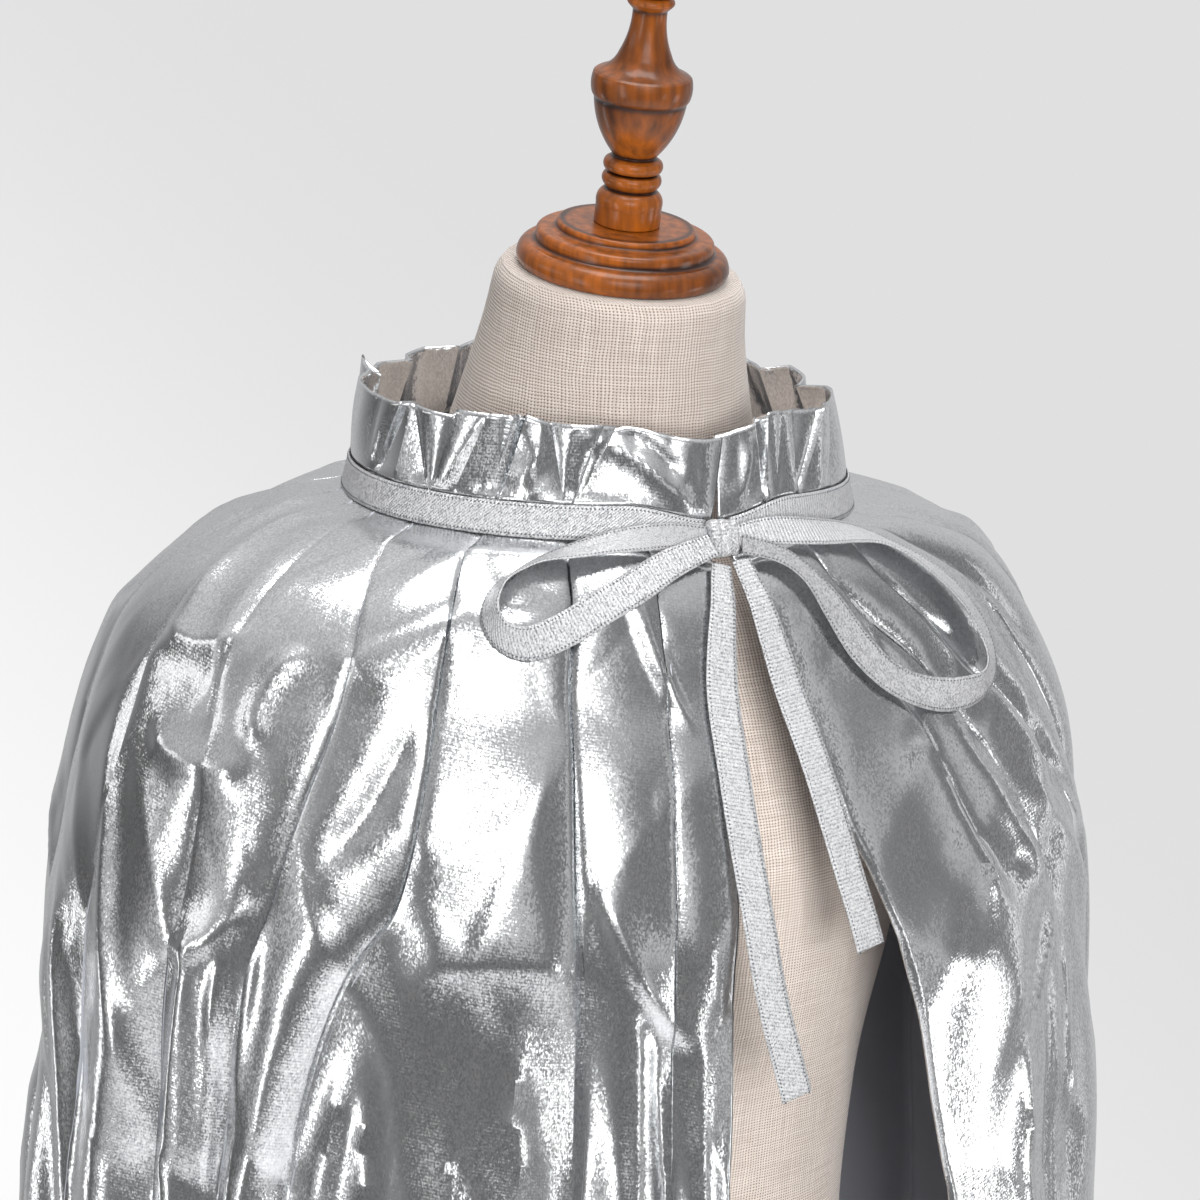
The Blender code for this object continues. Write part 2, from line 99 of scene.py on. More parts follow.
def add_node(tree, kind, inputs=None, **settings):
    """A node with its settings and its inputs."""
    node = tree.nodes.new(kind)
    for setting, value in settings.items():
        setattr(node, setting, value)
    feed(tree, node, inputs or {})
    return node


def mapped(tree, value, low, high, start=0.0, end=1.0, **settings):
    """A value carried from one range to another, and held inside it."""
    inputs = {"Value": value, "From Min": low, "From Max": high, "To Min": start, "To Max": end}
    return add_node(tree, "ShaderNodeMapRange", inputs, **settings).outputs["Result"]


def mixed(tree, share, first, second):
    """The colour between two, by a share of the second."""
    inputs = {"Factor": share, "A": first, "B": second}
    return add_node(tree, "ShaderNodeMix", inputs, data_type="RGBA").outputs["Result"]


def worked(tree, operation, *values, **settings):
    """What a sum makes of some values."""
    settings["operation"] = operation
    return add_node(tree, "ShaderNodeMath", dict(enumerate(values)), **settings).outputs["Value"]


def noise(tree, vector, scale, detail):
    """Soft random patches, so many to a unit."""
    inputs = {"Vector": vector, "Scale": scale, "Detail": detail}
    return add_node(tree, "ShaderNodeTexNoise", inputs).outputs


def new_material(name):
    """An empty material, its node tree and its Principled shader."""
    material = bpy.data.materials.new(name)
    material.use_nodes = True
    tree = material.node_tree
    return material, tree, tree.nodes["Principled BSDF"]


def placed(name, data):
    """An object in the scene for a mesh, a light or a camera."""
    piece = bpy.data.objects.new(name, data)
    bpy.context.scene.collection.objects.link(piece)
    return piece


def turned_points(outline, step=0.35):
    """An outline in metres, bulges as arcs, at even small steps, with its corners eased."""
    points = []
    for here, after in zip(outline, outline[1:]):
        start = np.array((here.radius, here.height), dtype=float)
        chord = np.array((after.radius, after.height), dtype=float) - start
        length = np.linalg.norm(chord)
        swell = np.array((-chord[1], chord[0])) / length * here.bulge
        count = max(2, min(round(length / step), 40))
        for part in np.arange(count) / count:
            points.append(start + chord * part + swell * 4 * part * (1 - part))
    points.append(np.array((outline[-1].radius, outline[-1].height), dtype=float))
    points = np.array(points)
    eased = points.copy()
    eased[1:-1] = (points[:-2] + 2 * points[1:-1] + points[2:]) / 4
    return eased / 1000


def turned(name, outline, segments, place):
    """A piece turned on a lathe, set where it belongs, with how deep in a groove each spot lies, for
    painted shade.
    """
    points = turned_points(outline)
    form = bmesh.new()
    chain = [form.verts.new((radius, 0, height)) for radius, height in points]
    for here, after in zip(chain, chain[1:]):
        form.edges.new((here, after))
    bmesh.ops.spin(
        form,
        geom=form.verts[:] + form.edges[:],
        cent=(0, 0, 0),
        axis=(0, 0, 1),
        angle=math.tau,
        steps=segments,
    )
    bmesh.ops.remove_doubles(form, verts=form.verts[:], dist=1e-6)
    bmesh.ops.recalc_face_normals(form, faces=form.faces[:])
    mesh = bpy.data.meshes.new(name)
    form.to_mesh(mesh)
    form.free()
    spots = np.array([vert.co for vert in mesh.vertices])
    radii = np.hypot(spots[:, 0], spots[:, 1])
    gaps = (radii[:, None] - points[None, :, 0]) ** 2 + (spots[:, 2, None] - points[None, :, 1]) ** 2
    nearest = np.argmin(gaps, axis=1)
    window = np.hypot(points[:, None, 0] - points[None, :, 0], points[:, None, 1] - points[None, :, 1])
    window = np.exp(-(window / GROOVE_SHADE_REACH) ** 2)
    around = (window @ points[:, 0]) / window.sum(axis=1)
    # How deep in a groove each point of the outline lies, which the wood darkens as painted shade.
    groove_shade_share = np.clip((around - points[:, 0]) / GROOVE_SHADE_DEPTH, 0, 1)
    groove_shade = mesh.attributes.new("groove_shade", "FLOAT", "POINT")
    groove_shade.data.foreach_set("value", groove_shade_share[nearest].astype(np.float32))
    mesh.transform(place)
    mesh.shade_smooth()
    mesh.set_sharp_from_angle(angle=math.radians(55))
    return placed(name, mesh)


def varnished_wood():
    """Stained hardwood: streaks along the grain, dark stain patches, painted shade darkening the
    grooves, a glossy clear coat.
    """
    material, tree, shader = new_material("Varnished red-brown hardwood")
    spot = add_node(tree, "ShaderNodeTexCoord").outputs["Object"]
    askew = {"Vector": spot, "Rotation": WOOD_ASKEW, "Scale": WOOD_STREAKS}
    along = add_node(tree, "ShaderNodeMapping", askew).outputs["Vector"]
    grain = mapped(tree, noise(tree, along, 1.0, 5.0)["Fac"], 0.22, 0.70)
    wood = mixed(tree, grain, linear(WOOD_DARK), linear(WOOD_LIGHT))
    groove_shade_share = add_node(tree, "ShaderNodeAttribute", attribute_name="groove_shade").outputs["Fac"]
    patches = mapped(tree, noise(tree, spot, WOOD_PATCHES, 3.0)["Fac"], 0.45, 0.72, 0.0, 0.85)
    # Grooves take painted shade and random patches take real stain, both in the same dark colour.
    stain_and_shade = worked(tree, "MULTIPLY_ADD", groove_shade_share, 1.2, patches, use_clamp=True)
    colour = mixed(tree, stain_and_shade, wood, linear(WOOD_STAIN_AND_SHADE))
    varnish = {"Specular IOR Level": 0.25, "Coat Weight": 0.75, "Coat Roughness": 0.2}
    feed(tree, shader, {"Base Color": colour, "Roughness": 0.5, **varnish})
    return material


wood = varnished_wood()


def wooden(piece, node):
    piece.data.materials.append(wood)
    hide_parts(node)
    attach(piece, "root")


wooden(turned("stand_foot_turned", BASE_OUTLINE, 120, Matrix()), "stand_base")
pole_place = Matrix.Translation((0, 0, BASE_THICK + SEAM_GAP))
wooden(turned("stand_pole_turned", POLE_OUTLINE, 48, pole_place), "stand_pole")

# Linen form: a padded torso without limbs, covered in an open plain-weave natural linen that is
# pulled tight over it and turned in under the neck cap. Flat at the hip, where the pole goes in.
FORM_COLUMNS = 160
FORM_STEPS = 8
# Thread pitches, a little coarser than real so that the weave shows.
LINEN_WARP_PITCH = 0.0016
LINEN_WEFT_PITCH = 0.0013
LINEN_WOBBLE = 0.0024
LINEN_RELIEF = 0.0004
LINEN_LIGHT = "#ece0d7"
LINEN_SHADE = "#d4c6bb"
LINEN_GAP = "#52331f"
# The neck is toned down, since the studio's lights fall more on it than on the chest.
LINEN_NECK_TONE = 0.70
LINEN_NECK_FOOT = 1.36
LINEN_NECK_TOP = 1.43
Section = namedtuple("Section", "height half_width front_depth back_depth centre_y tilt")
FORM_SECTIONS = (
    Section(0.800, 0.158, 0.098, 0.108, 0.004, 0.00),
    Section(0.806, 0.163, 0.103, 0.113, 0.004, 0.00),
    Section(0.880, 0.170, 0.110, 0.120, 0.004, 0.00),
    Section(0.960, 0.150, 0.100, 0.102, 0.004, 0.00),
    Section(1.040, 0.120, 0.086, 0.080, 0.004, 0.00),
    Section(1.120, 0.126, 0.096, 0.084, 0.004, 0.00),
    Section(1.190, 0.140, 0.116, 0.092, 0.004, 0.00),
    Section(1.240, 0.152, 0.124, 0.098, 0.004, 0.00),
    Section(1.290, 0.170, 0.112, 0.104, 0.004, 0.02),
    Section(1.325, 0.184, 0.098, 0.104, 0.005, 0.04),
    Section(1.3494, 0.188, 0.088, 0.100, 0.006, 0.06),
    Section(1.3647, 0.178, 0.079, 0.094, 0.007, 0.08),
    Section(1.3750, 0.150, 0.071, 0.086, 0.008, 0.09),
    Section(1.3821, 0.115, 0.067, 0.080, 0.007, 0.10),
    Section(1.391, 0.086, 0.065, 0.076, 0.004, 0.10),
    Section(1.4080, 0.0745, 0.0640, 0.0725, 0.000, 0.10),
    Section(1.4400, 0.0645, 0.0610, 0.0655, -0.006, 0.13),
    Section(1.4700, 0.0580, 0.0560, 0.0580, -0.013, 0.18),
    Section(1.4895, 0.0552, 0.0545, 0.0550, -0.018, 0.2126),
    Section(1.4945, 0.0522, 0.0515, 0.0520, -0.019, 0.2126),
)


def through(rows, places, tight=False):
    """A table's values at places between its rows, on a smooth curve. Tight doesn't overshoot."""
    table = np.array(rows, dtype=float)
    places = np.asarray(places, dtype=float)
    index = np.minimum(places.astype(int), len(table) - 2)
    part = (places - index)[..., None]
    steps = np.diff(table, axis=0)
    before = np.concatenate([steps[:1], steps])
    after = np.concatenate([steps, steps[-1:]])
    slopes = (before + after) / 2
    slopes[0] /= 2
    slopes[-1] /= 2
    if tight:
        same_way = before * after > 0
        both = np.where(same_way, before + after, 1)
        slopes = np.where(same_way, 2 * before * after / both, 0)
    start = table[index]
    end = table[index + 1]
    leave = slopes[index]
    arrive = slopes[index + 1]
    bend = 3 * (end - start) - 2 * leave - arrive
    turn = 2 * (start - end) + leave + arrive
    return start + part * (leave + part * (bend + part * turn))


def corners_of(grid):
    """The four corners of every cell of a grid, in order round it."""
    return np.stack([grid[:-1, :-1], grid[1:, :-1], grid[1:, 1:], grid[:-1, 1:]], axis=2)


def grid_mesh(name, points, coordinates, closed=False):
    """A smooth mesh on rows of points, facing out, with a UV map in metres along the cloth."""
    rows, columns = points.shape[:2]
    number = np.arange(rows * columns).reshape(rows, columns)
    if closed:
        number = np.concatenate([number, number[:, :1]], axis=1)
    mesh = bpy.data.meshes.new(name)
    mesh.from_pydata(points.reshape(-1, 3).tolist(), [], corners_of(number).reshape(-1, 4).tolist())
    uv = mesh.uv_layers.new(name="Cloth")
    uv.data.foreach_set("uv", corners_of(coordinates).reshape(-1).astype(np.float32))
    mesh.shade_smooth()
    return mesh


def lengths(points, axis, closed=False):
    """Distance along a grid's rows or columns, from the first point."""
    if closed:
        points = np.concatenate([points, points[:, :1]], axis=1)
    step = np.linalg.norm(np.diff(points, axis=axis), axis=-1)
    start = np.zeros_like(np.take(step, [0], axis=axis))
    return np.concatenate([start, np.cumsum(step, axis=axis)], axis=axis)


def ribs(tree, coordinate, pitch):
    """Rounded ribs of a pitch along one coordinate, from 0 between them to 1 on top."""
    turn = worked(tree, "MULTIPLY", coordinate, math.pi / pitch)
    return worked(tree, "ABSOLUTE", worked(tree, "SINE", turn))


def open_linen():
    """Natural linen: uneven pale threads, dark gaps where they cross, no shine."""
    material, tree, shader = new_material("Natural open-weave linen")
    cloth = add_node(tree, "ShaderNodeUVMap", uv_map="Cloth").outputs["UV"]
    sway = {0: noise(tree, cloth, 70.0, 4.0)["Color"], 1: (LINEN_WOBBLE, LINEN_WOBBLE, 0.0), 2: cloth}
    bent = add_node(tree, "ShaderNodeVectorMath", sway, operation="MULTIPLY_ADD").outputs["Vector"]
    parts = add_node(tree, "ShaderNodeSeparateXYZ", {"Vector": bent}).outputs
    warp = ribs(tree, parts["X"], LINEN_WARP_PITCH)
    weft = ribs(tree, parts["Y"], LINEN_WEFT_PITCH)
    weave = worked(tree, "ADD", warp, weft)
    solid = mapped(tree, weave, 0.52, 1.08)
    shades = []
    for scale in ((30, 900, 1), (900, 30, 1)):
        run = add_node(tree, "ShaderNodeMapping", {"Vector": cloth, "Scale": scale}).outputs["Vector"]
        shades.append(noise(tree, run, 1.0, 2.0)["Fac"])
    slubs = mapped(tree, worked(tree, "ADD", *shades), 0.75, 1.25)
    thread = mixed(tree, slubs, linear(LINEN_SHADE), linear(LINEN_LIGHT))
    colour = mixed(tree, solid, linear(LINEN_GAP), thread)
    spot = add_node(tree, "ShaderNodeTexCoord").outputs["Object"]
    height = add_node(tree, "ShaderNodeSeparateXYZ", {"Vector": spot}).outputs["Z"]
    tone = mapped(tree, height, LINEN_NECK_FOOT, LINEN_NECK_TOP, 1.0, LINEN_NECK_TONE)
    toned = add_node(tree, "ShaderNodeVectorMath", {0: colour, "Scale": tone}, operation="SCALE")
    relief = {"Height": weave, "Distance": LINEN_RELIEF, "Strength": 0.5}
    rise = add_node(tree, "ShaderNodeBump", relief).outputs["Normal"]
    nap = {"Specular IOR Level": 0.2, "Sheen Weight": 0.25, "Sheen Roughness": 0.5}
    feed(tree, shader, {"Base Color": toned.outputs["Vector"], "Normal": rise, "Roughness": 0.9, **nap})
    return material


section_places = np.linspace(len(FORM_SECTIONS) - 1, 0, (len(FORM_SECTIONS) - 1) * FORM_STEPS + 1)
section = through(FORM_SECTIONS, section_places, tight=True)[:, None, :]
round_angle = (math.tau * np.arange(FORM_COLUMNS) / FORM_COLUMNS + math.pi)[None, :]
front_share = np.cos(round_angle)
depth = np.where(front_share > 0, section[..., 2], section[..., 3])
forward = depth * front_share
form_points = np.stack(
    [
        section[..., 1] * np.sin(round_angle),
        section[..., 4] - forward,
        section[..., 0] - section[..., 5] * forward,
    ],
    axis=-1,
)
round_length = lengths(form_points, 1, closed=True)
down_length = lengths(form_points, 0)[:, FORM_COLUMNS // 2]
form_coordinates = np.stack(
    [
        round_length - round_length[:, FORM_COLUMNS // 2:FORM_COLUMNS // 2 + 1],
        np.repeat(-down_length[:, None], FORM_COLUMNS + 1, axis=1),
    ],
    axis=-1,
)
form_mesh = grid_mesh("linen_form", form_points, form_coordinates, closed=True)
ends = bmesh.new()
ends.from_mesh(form_mesh)
ends.verts.ensure_lookup_table()
cloth_map = ends.loops.layers.uv["Cloth"]
last_ring = len(ends.verts) - FORM_COLUMNS
neck_end = ends.faces.new([ends.verts[column] for column in range(FORM_COLUMNS)])
hip_end = ends.faces.new([ends.verts[last_ring + column] for column in range(FORM_COLUMNS)][::-1])
for corner in (*neck_end.loops, *hip_end.loops):
    corner[cloth_map].uv = corner.vert.co.xy
ends.to_mesh(form_mesh)
ends.free()
form_mesh.set_sharp_from_angle(angle=math.radians(60))
form_mesh.materials.append(open_linen())
linen_form = placed("linen_form", form_mesh)
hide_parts("form_torso")
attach(linen_form, "root")
form_tree = BVHTree.FromPolygons(
    [vert.co.copy() for vert in form_mesh.vertices], [face.vertices[:] for face in form_mesh.polygons]
)

# Neck cap and finial: turned from the same wood as the stand. The cap closes the neck, and the
# finial screws into its middle. Both lean forward with the neck's rim.
NECK_CAP_OUTLINE = (
    Turning(0, 21, 0),
    Turning(29.5, 21, 0.4),
    Turning(30.8, 19.5, 0),
    Turning(30.8, 18, 0),
    Turning(32.5, 17.2, 0),
    Turning(37.5, 16.8, 0.5),
    Turning(39.5, 14.5, 0),
    Turning(39.5, 11.5, -0.4),
    Turning(42.5, 10.6, 0.8),
    Turning(46.7, 6.4, 1.1),
    Turning(45, 0, 0),
    Turning(0, 0, 0),
)
FINIAL_OUTLINE = (
    Turning(0, 122, 3.9),
    Turning(10.4, 111.5, 3.4),
    Turning(7.2, 102.8, 0),
    Turning(9.4, 101.4, 1.1),
    Turning(9.4, 97.6, 0),
    Turning(7.6, 95.8, -1.2),
    Turning(11.6, 76.3, -1.5),
    Turning(20.2, 68, 0),
    Turning(21.6, 67, 0.7),
    Turning(21.6, 57.7, 0),
    Turning(20.4, 55.8, 2.2),
    Turning(9.4, 30.7, 0),
    Turning(12.4, 28.8, 0.8),
    Turning(12.4, 24.2, 0),
    Turning(10, 23.3, 0),
    Turning(12.4, 22.3, 0.8),
    Turning(12.4, 17.7, 0),
    Turning(11, 15.8, 1.5),
    Turning(14.6, 8.4, 0),
    Turning(14.6, 0, 0),
    Turning(0, 0, 0),
)
neck_rim = FORM_SECTIONS[-1]
neck_lean = math.atan(neck_rim.tilt)
neck_axis = Vector((0, -math.sin(neck_lean), math.cos(neck_lean)))
cap_foot = Vector((0, neck_rim.centre_y, neck_rim.height)) + neck_axis * SEAM_GAP
finial_foot = cap_foot + neck_axis * (NECK_CAP_OUTLINE[0].height / 1000 + SEAM_GAP)
lean = Matrix.Rotation(neck_lean, 4, "X")
wooden(turned("neck_cap_turned", NECK_CAP_OUTLINE, 120, Matrix.Translation(cap_foot) @ lean), "neck_cap")
wooden(turned("finial_turned", FINIAL_OUTLINE, 72, Matrix.Translation(finial_foot) @ lean), "finial")

# Cape: three panels of silver foil-coated knit, two fronts and a back, sewn at the sides and gathered
# in knife pleats into the neck. Light stiff cloth that holds its creases; bare knit on the inside.
CLOTH_THICK = 0.0012
FORM_CLEAR = 0.0006
COLUMNS_PER_PUFF = 24
RIBBON_FOOT = 1.0
SEAM_LEVEL = 0.14
# Small steps round and down, to find which way a face looks.
RING_STEP = 0.01
LEVEL_STEP = 0.02
Level = namedtuple("Level", "height half_width half_depth centre_y tilt tuck_depth puff_power")
CAPE_LEVELS = (
    Level(1.4055, 0.1140, 0.1000, 0.000, 0.14, 0.0018, 0.9),
    Level(1.3910, 0.1172, 0.1035, 0.001, 0.14, 0.0024, 0.9),
    Level(1.3850, 0.1480, 0.1170, 0.006, 0.12, 0.0045, 0.9),
    Level(1.3710, 0.1850, 0.1330, 0.012, 0.11, 0.0065, 1.0),
    Level(1.3550, 0.2068, 0.1455, 0.018, 0.10, 0.0075, 1.0),
    Level(1.3360, 0.2215, 0.1560, 0.022, 0.09, 0.0080, 1.1),
    Level(1.3010, 0.2360, 0.1690, 0.022, 0.06, 0.0090, 1.2),
    Level(1.2520, 0.2482, 0.1810, 0.021, 0.03, 0.0100, 1.3),
    Level(1.2140, 0.2537, 0.1880, 0.021, 0.01, 0.0110, 1.4),
    Level(1.1440, 0.2570, 0.1970, 0.026, 0.00, 0.0125, 1.5),
    Level(1.0790, 0.2610, 0.2050, 0.030, 0.00, 0.0140, 1.6),
    Level(0.8000, 0.2750, 0.2220, 0.034, 0.00, 0.0180, 1.8),
    Level(0.4500, 0.2950, 0.2450, 0.036, 0.00, 0.0230, 2.0),
)
NECK_RISE = 0.0105
NECK_RISE_SPAN = math.radians(160)
NECK_LOW_SPAN = math.radians(85)
NECK_DIP = 0.0075
NECK_DIP_SPAN = math.radians(22)
NECK_RISE_FOOT = 1.325
# Rows of the mesh between two of the levels, closest where the photo shows creases.
ROW_SPANS = ((SEAM_LEVEL, 1.0, 5), (1.0, 3.0, 44), (3.0, 9.0, 112), (9.0, 10.0, 22), (10.0, 12.0, 56))
Tuck = namedtuple(
    "Tuck", "neck_deg collar_deg shoulder_deg chest_deg low_deg hem_deg weight low_weight lap_mm"
)
TUCKS = (
    Tuck(19, 17, 25, 38, 46, 43, 0.9, 0.45, -1.8),
    Tuck(33, 26, 35, 52, 66, 62, 1.1, 0.8, -2.2),
    Tuck(41, 48, 50, 62, 77, 75, 1.3, 1.0, -2.2),
    Tuck(55, 66, 66, 74, 88, 86, 1.0, 0.6, -1.8),
    Tuck(84, 86, 88, 92, 99, 100, 0.4, 1.2, -0.7),
    Tuck(107, 107, 107, 107, 110, 111, 0.4, 0.8, -0.8),
    Tuck(125, 126, 125, 125, 125, 125, 0.3, 0.6, 0.0),
    Tuck(142, 144, 143, 142, 141, 141, 0.8, 1.3, -1.2),
    Tuck(160, 160, 160, 161, 162, 162, 0.5, 0.7, -0.8),
    Tuck(177, 178, 178, 178, 178, 178, 0.8, 1.2, 1.2),
    Tuck(196, 195, 196, 198, 199, 199, 0.5, 0.9, 1.0),
    Tuck(215, 214, 215, 216, 217, 217, 0.8, 1.3, 1.2),
    Tuck(233, 232, 233, 233, 233, 233, 0.3, 0.6, 0.0),
    Tuck(248, 255, 258, 256, 252, 251, 0.3, 1.0, 0.3),
    Tuck(262, 272, 276, 276, 272, 270, 0.2, 0.5, 0.2),
    Tuck(274, 288, 292, 292, 287, 284, 0.3, 1.0, 0.4),
    Tuck(288, 305, 310, 304.5, 298, 294, 0.8, 0.9, 2.0),
    Tuck(307, 319, 322, 319, 307.5, 304, 0.9, 1.0, 2.2),
    Tuck(327, 336, 338, 338, 338, 336, 1.1, 1.3, 2.4),
    Tuck(344, 348, 349, 348, 347, 346, 0.4, 0.6, 1.2),
)
TUCK_LEVELS = (1, 3, 5, 7, 9, 12)
# Under the ribbon the tucks are pinched. They open over this stretch down the cloth.
OPEN_FROM = 0.10
OPEN_OVER = 0.22
PINCHED_POWER = 0.32
PINCHED_SHARE = 0.55
LAP_FLATTENS = 0.55
LAP_OPENS = 0.6
LAP_SINKS = 0.35
HAIR = 1e-6
EDGE_WEIGHT = 0.3
PUFF_COUNT = len(TUCKS) + 1
LEFT_SEAM = 7
RIGHT_SEAM = 13
FrontEdge = namedtuple("FrontEdge", "height right_x left_x")
FRONT_EDGES = (
    FrontEdge(1.4200, -0.0025, 0.0025),
    FrontEdge(1.3850, -0.0025, 0.0025),
    FrontEdge(1.3450, -0.0110, 0.0130),
    FrontEdge(1.3100, -0.0170, 0.0230),
    FrontEdge(1.2650, -0.0210, 0.0340),
    FrontEdge(1.2150, -0.0270, 0.0560),
    FrontEdge(1.1000, -0.0330, 0.0880),
    FrontEdge(0.4400, -0.0560, 0.1200),
)
# Creases: where each starts and ends, as degrees round from the front and millimetres down the cloth
# from the ribbon, how far its middle sags, how far it lifts or sinks, its reach on either hand, and the
# share of that reach at its far end. Ridges are a little rounded, and taper at both ends.
CREASE_ROUND = 0.0018
CREASE_TAPER = 0.3
CREASE_END = 0.15
CREASE_TURN = math.radians(70)
CREASE_BAND = 0.05
Crease = namedtuple(
    "Crease", "from_deg from_mm to_deg to_mm sag_mm lift_mm left_mm right_mm flare", defaults=[1.0]
)
FRONT_CREASES = (
    Crease(-52, 92, -38, 46, 5, 2.6, 26, 9),
    Crease(-40, 100, -51, 176, -4, -3.0, 12, 16),
    Crease(-45, 12, -26, 46, 8, -2.6, 14, 14),
    Crease(-24, 90, -36, 205, -6, 2.8, 34, 26),
    Crease(-19, 18, -9, 68, 0, 1.6, 6, 5),
    Crease(-16, 20, -7, 84, 3, 1.8, 7, 6),
    Crease(-110, 0, -99, 62, 0, 2.4, 10, 14),
    Crease(-96, 12, -80, 104, 4, 2.6, 12, 12),
    Crease(-84, 104, -68, 92, 10, 2.8, 17, 22),
    Crease(-80, 34, -67, 132, 0, 1.8, 12, 22),
    Crease(-77, 150, -61, 146, 9, 3.0, 14, 22),
    Crease(-58, 90, -61, 140, 5, 2.6, 8, 12),
    Crease(-86, 140, -73, 330, 4, 3.6, 24, 11),
    Crease(-71, 238, -59, 196, 6, 3.2, 9, 18),
    Crease(-66, 216, -71, 350, 0, 3.0, 4, 5, 2.6),
    Crease(-62, 222, -66, 380, 0, 3.2, 4, 4, 2.4),
    Crease(-57, 196, -62, 400, 3, 3.6, 7, 6, 2.6),
    Crease(-46, 244, -56, 400, 0, 3.8, 5, 8, 2.4),
    Crease(-45, 240, -44, 400, 0, 3.0, 4, 5, 2.6),
    Crease(-35, 232, -38, 400, 0, 2.6, 5, 5, 2.4),
    Crease(-94, 236, -88, 420, 0, 4.0, 6, 10, 3.0),
    Crease(-42, 208, -19, 194, -8, 5.0, 46, 105),
    Crease(-30, 206, -27, 400, 0, 4.6, 8, 12, 1.8),
    Crease(-21, 150, -9, 222, 9, 3.2, 10, 22),
    Crease(-15, 200, -13, 360, 0, -2.6, 10, 12),
    Crease(16, 36, 33, 196, 6, -3.6, 10, 24, 0.6),
    Crease(25, 54, 57, 212, 2, -3.6, 10, 24, 0.6),
    Crease(44, 30, 60, 140, 4, -3.4, 8, 20),
    Crease(18, 96, 31, 206, 2, 5.0, 28, 12, 0.6),
    Crease(32, 104, 62, 234, 2, 5.0, 28, 12, 0.6),
    Crease(24, 112, 44, 232, 2, 3.2, 14, 10, 0.6),
    Crease(26, 184, 36, 198, 0, -2.6, 18, 28),
    Crease(43, 232, 32, 262, 0, 3.4, 12, 8),
    Crease(12, 198, 36, 258, -6, 4.6, 90, 70),
    Crease(33, 256, 31, 420, 0, 3.0, 9, 10),
    Crease(40, 246, 40, 400, 0, -3.0, 10, 9),
    Crease(47, 258, 46, 340, 0, 2.6, 8, 10),
    Crease(61, 290, 61, 420, 0, 3.2, 12, 12),
    Crease(37, 164, 64, 276, 2, 2.2, 14, 12),
)
BACK_CREASES = (
    Crease(78, 60, 92, 150, 5, 2.6, 12, 14),
    Crease(84, 170, 100, 150, -9, -3.4, 12, 6),
    Crease(96, 210, 92, 380, 0, 3.2, 10, 14),
    Crease(112, 40, 120, 150, 6, -2.8, 12, 14),
    Crease(114, 180, 134, 214, 8, -3.6, 8, 20),
    Crease(130, 60, 140, 170, -4, 2.8, 10, 16),
    Crease(140, 220, 146, 420, 0, 3.4, 12, 10),
    Crease(152, 30, 168, 96, 6, -2.6, 14, 12),
    Crease(150, 130, 172, 118, -9, -3.4, 12, 6),
    Crease(166, 160, 158, 330, 4, 3.0, 16, 9),
    Crease(182, 50, 192, 170, -5, 2.8, 12, 16),
    Crease(186, 205, 208, 190, -10, -3.8, 9, 22),
    Crease(200, 60, 214, 118, 6, -2.6, 12, 12),
    Crease(204, 230, 198, 420, 0, 3.2, 10, 14),
    Crease(222, 40, 232, 150, 4, 2.8, 14, 10),
    Crease(220, 175, 240, 165, -9, -3.4, 12, 7),
    Crease(236, 210, 230, 400, 0, 3.2, 12, 10),
    Crease(244, 30, 256, 120, 5, -2.4, 12, 14),
    Crease(248, 190, 262, 300, 4, 3.0, 10, 16),
)
# Loose folds all over: random facets, some deeper in patches.
FACET_TILT = 0.8
FACET_CELLS = 64
LooseFold = namedtuple("LooseFold", "lift seed width height patchy")
LOOSE_FOLDS = (
    LooseFold(0.0056, 5, 0.062, 0.165, 0),
    LooseFold(-0.0042, 23, 0.048, 0.110, 0),
    LooseFold(0.0010, 11, 0.020, 0.042, 1),
)
# They start below the gathers, and are shallower near the neck.
HELD_DROP = 0.03
LOOSE_AT_NECK = 0.55
LOOSE_FROM = 0.06
LOOSE_OVER = 0.16
CAPE_RADIUS = 0.20
# The cloth stays down where the bow lies on it: this far round and down, with soft edges.
LOOSE_ROOM = 0.0055
BOW_ROOM = 0.0008
OVER_ROOM_SHARE = 0.15
BowArea = namedtuple("BowArea", "turn turn_edge drop drop_edge")
BOW_AREAS = (
    BowArea(math.radians(58), math.radians(8), 0.122, 0.012),
    BowArea(math.radians(16), math.radians(3), 0.170, 0.03),
)
FOIL_SILVER = "#fbfcfd"
FOIL_GRAIN = "#dcdee0"
FOIL_INSIDE = "#aaacb3"
# Sizes of the knit's courses and of the foil's grain, both coarser than real, which is too fine to draw.
KNIT_PITCH = 0.0014
KNIT_RELIEF = 0.00001
FOIL_FLECK = 0.0006
FLECK_WIDTH_SHARE = 0.55
FOIL_FLECK_TILT = 0.052


def ease(value):
    """A share from 0 to 1 that leaves and arrives softly."""
    value = np.clip(value, 0, 1)
    return value * value * (3 - 2 * value)


def unit(vectors):
    """Vectors shortened or stretched to a length of 1."""
    return vectors / np.linalg.norm(vectors, axis=-1, keepdims=True)


def from_front(angle):
    """An angle as a turn from the front, up to half way round to either hand."""
    return (angle + math.pi) % math.tau - math.pi


def hump(turn, span):
    """A share that falls softly from 1 in front to 0 at a span to either hand."""
    return np.cos(np.minimum(np.abs(turn) / span, 1) * math.pi / 2) ** 2


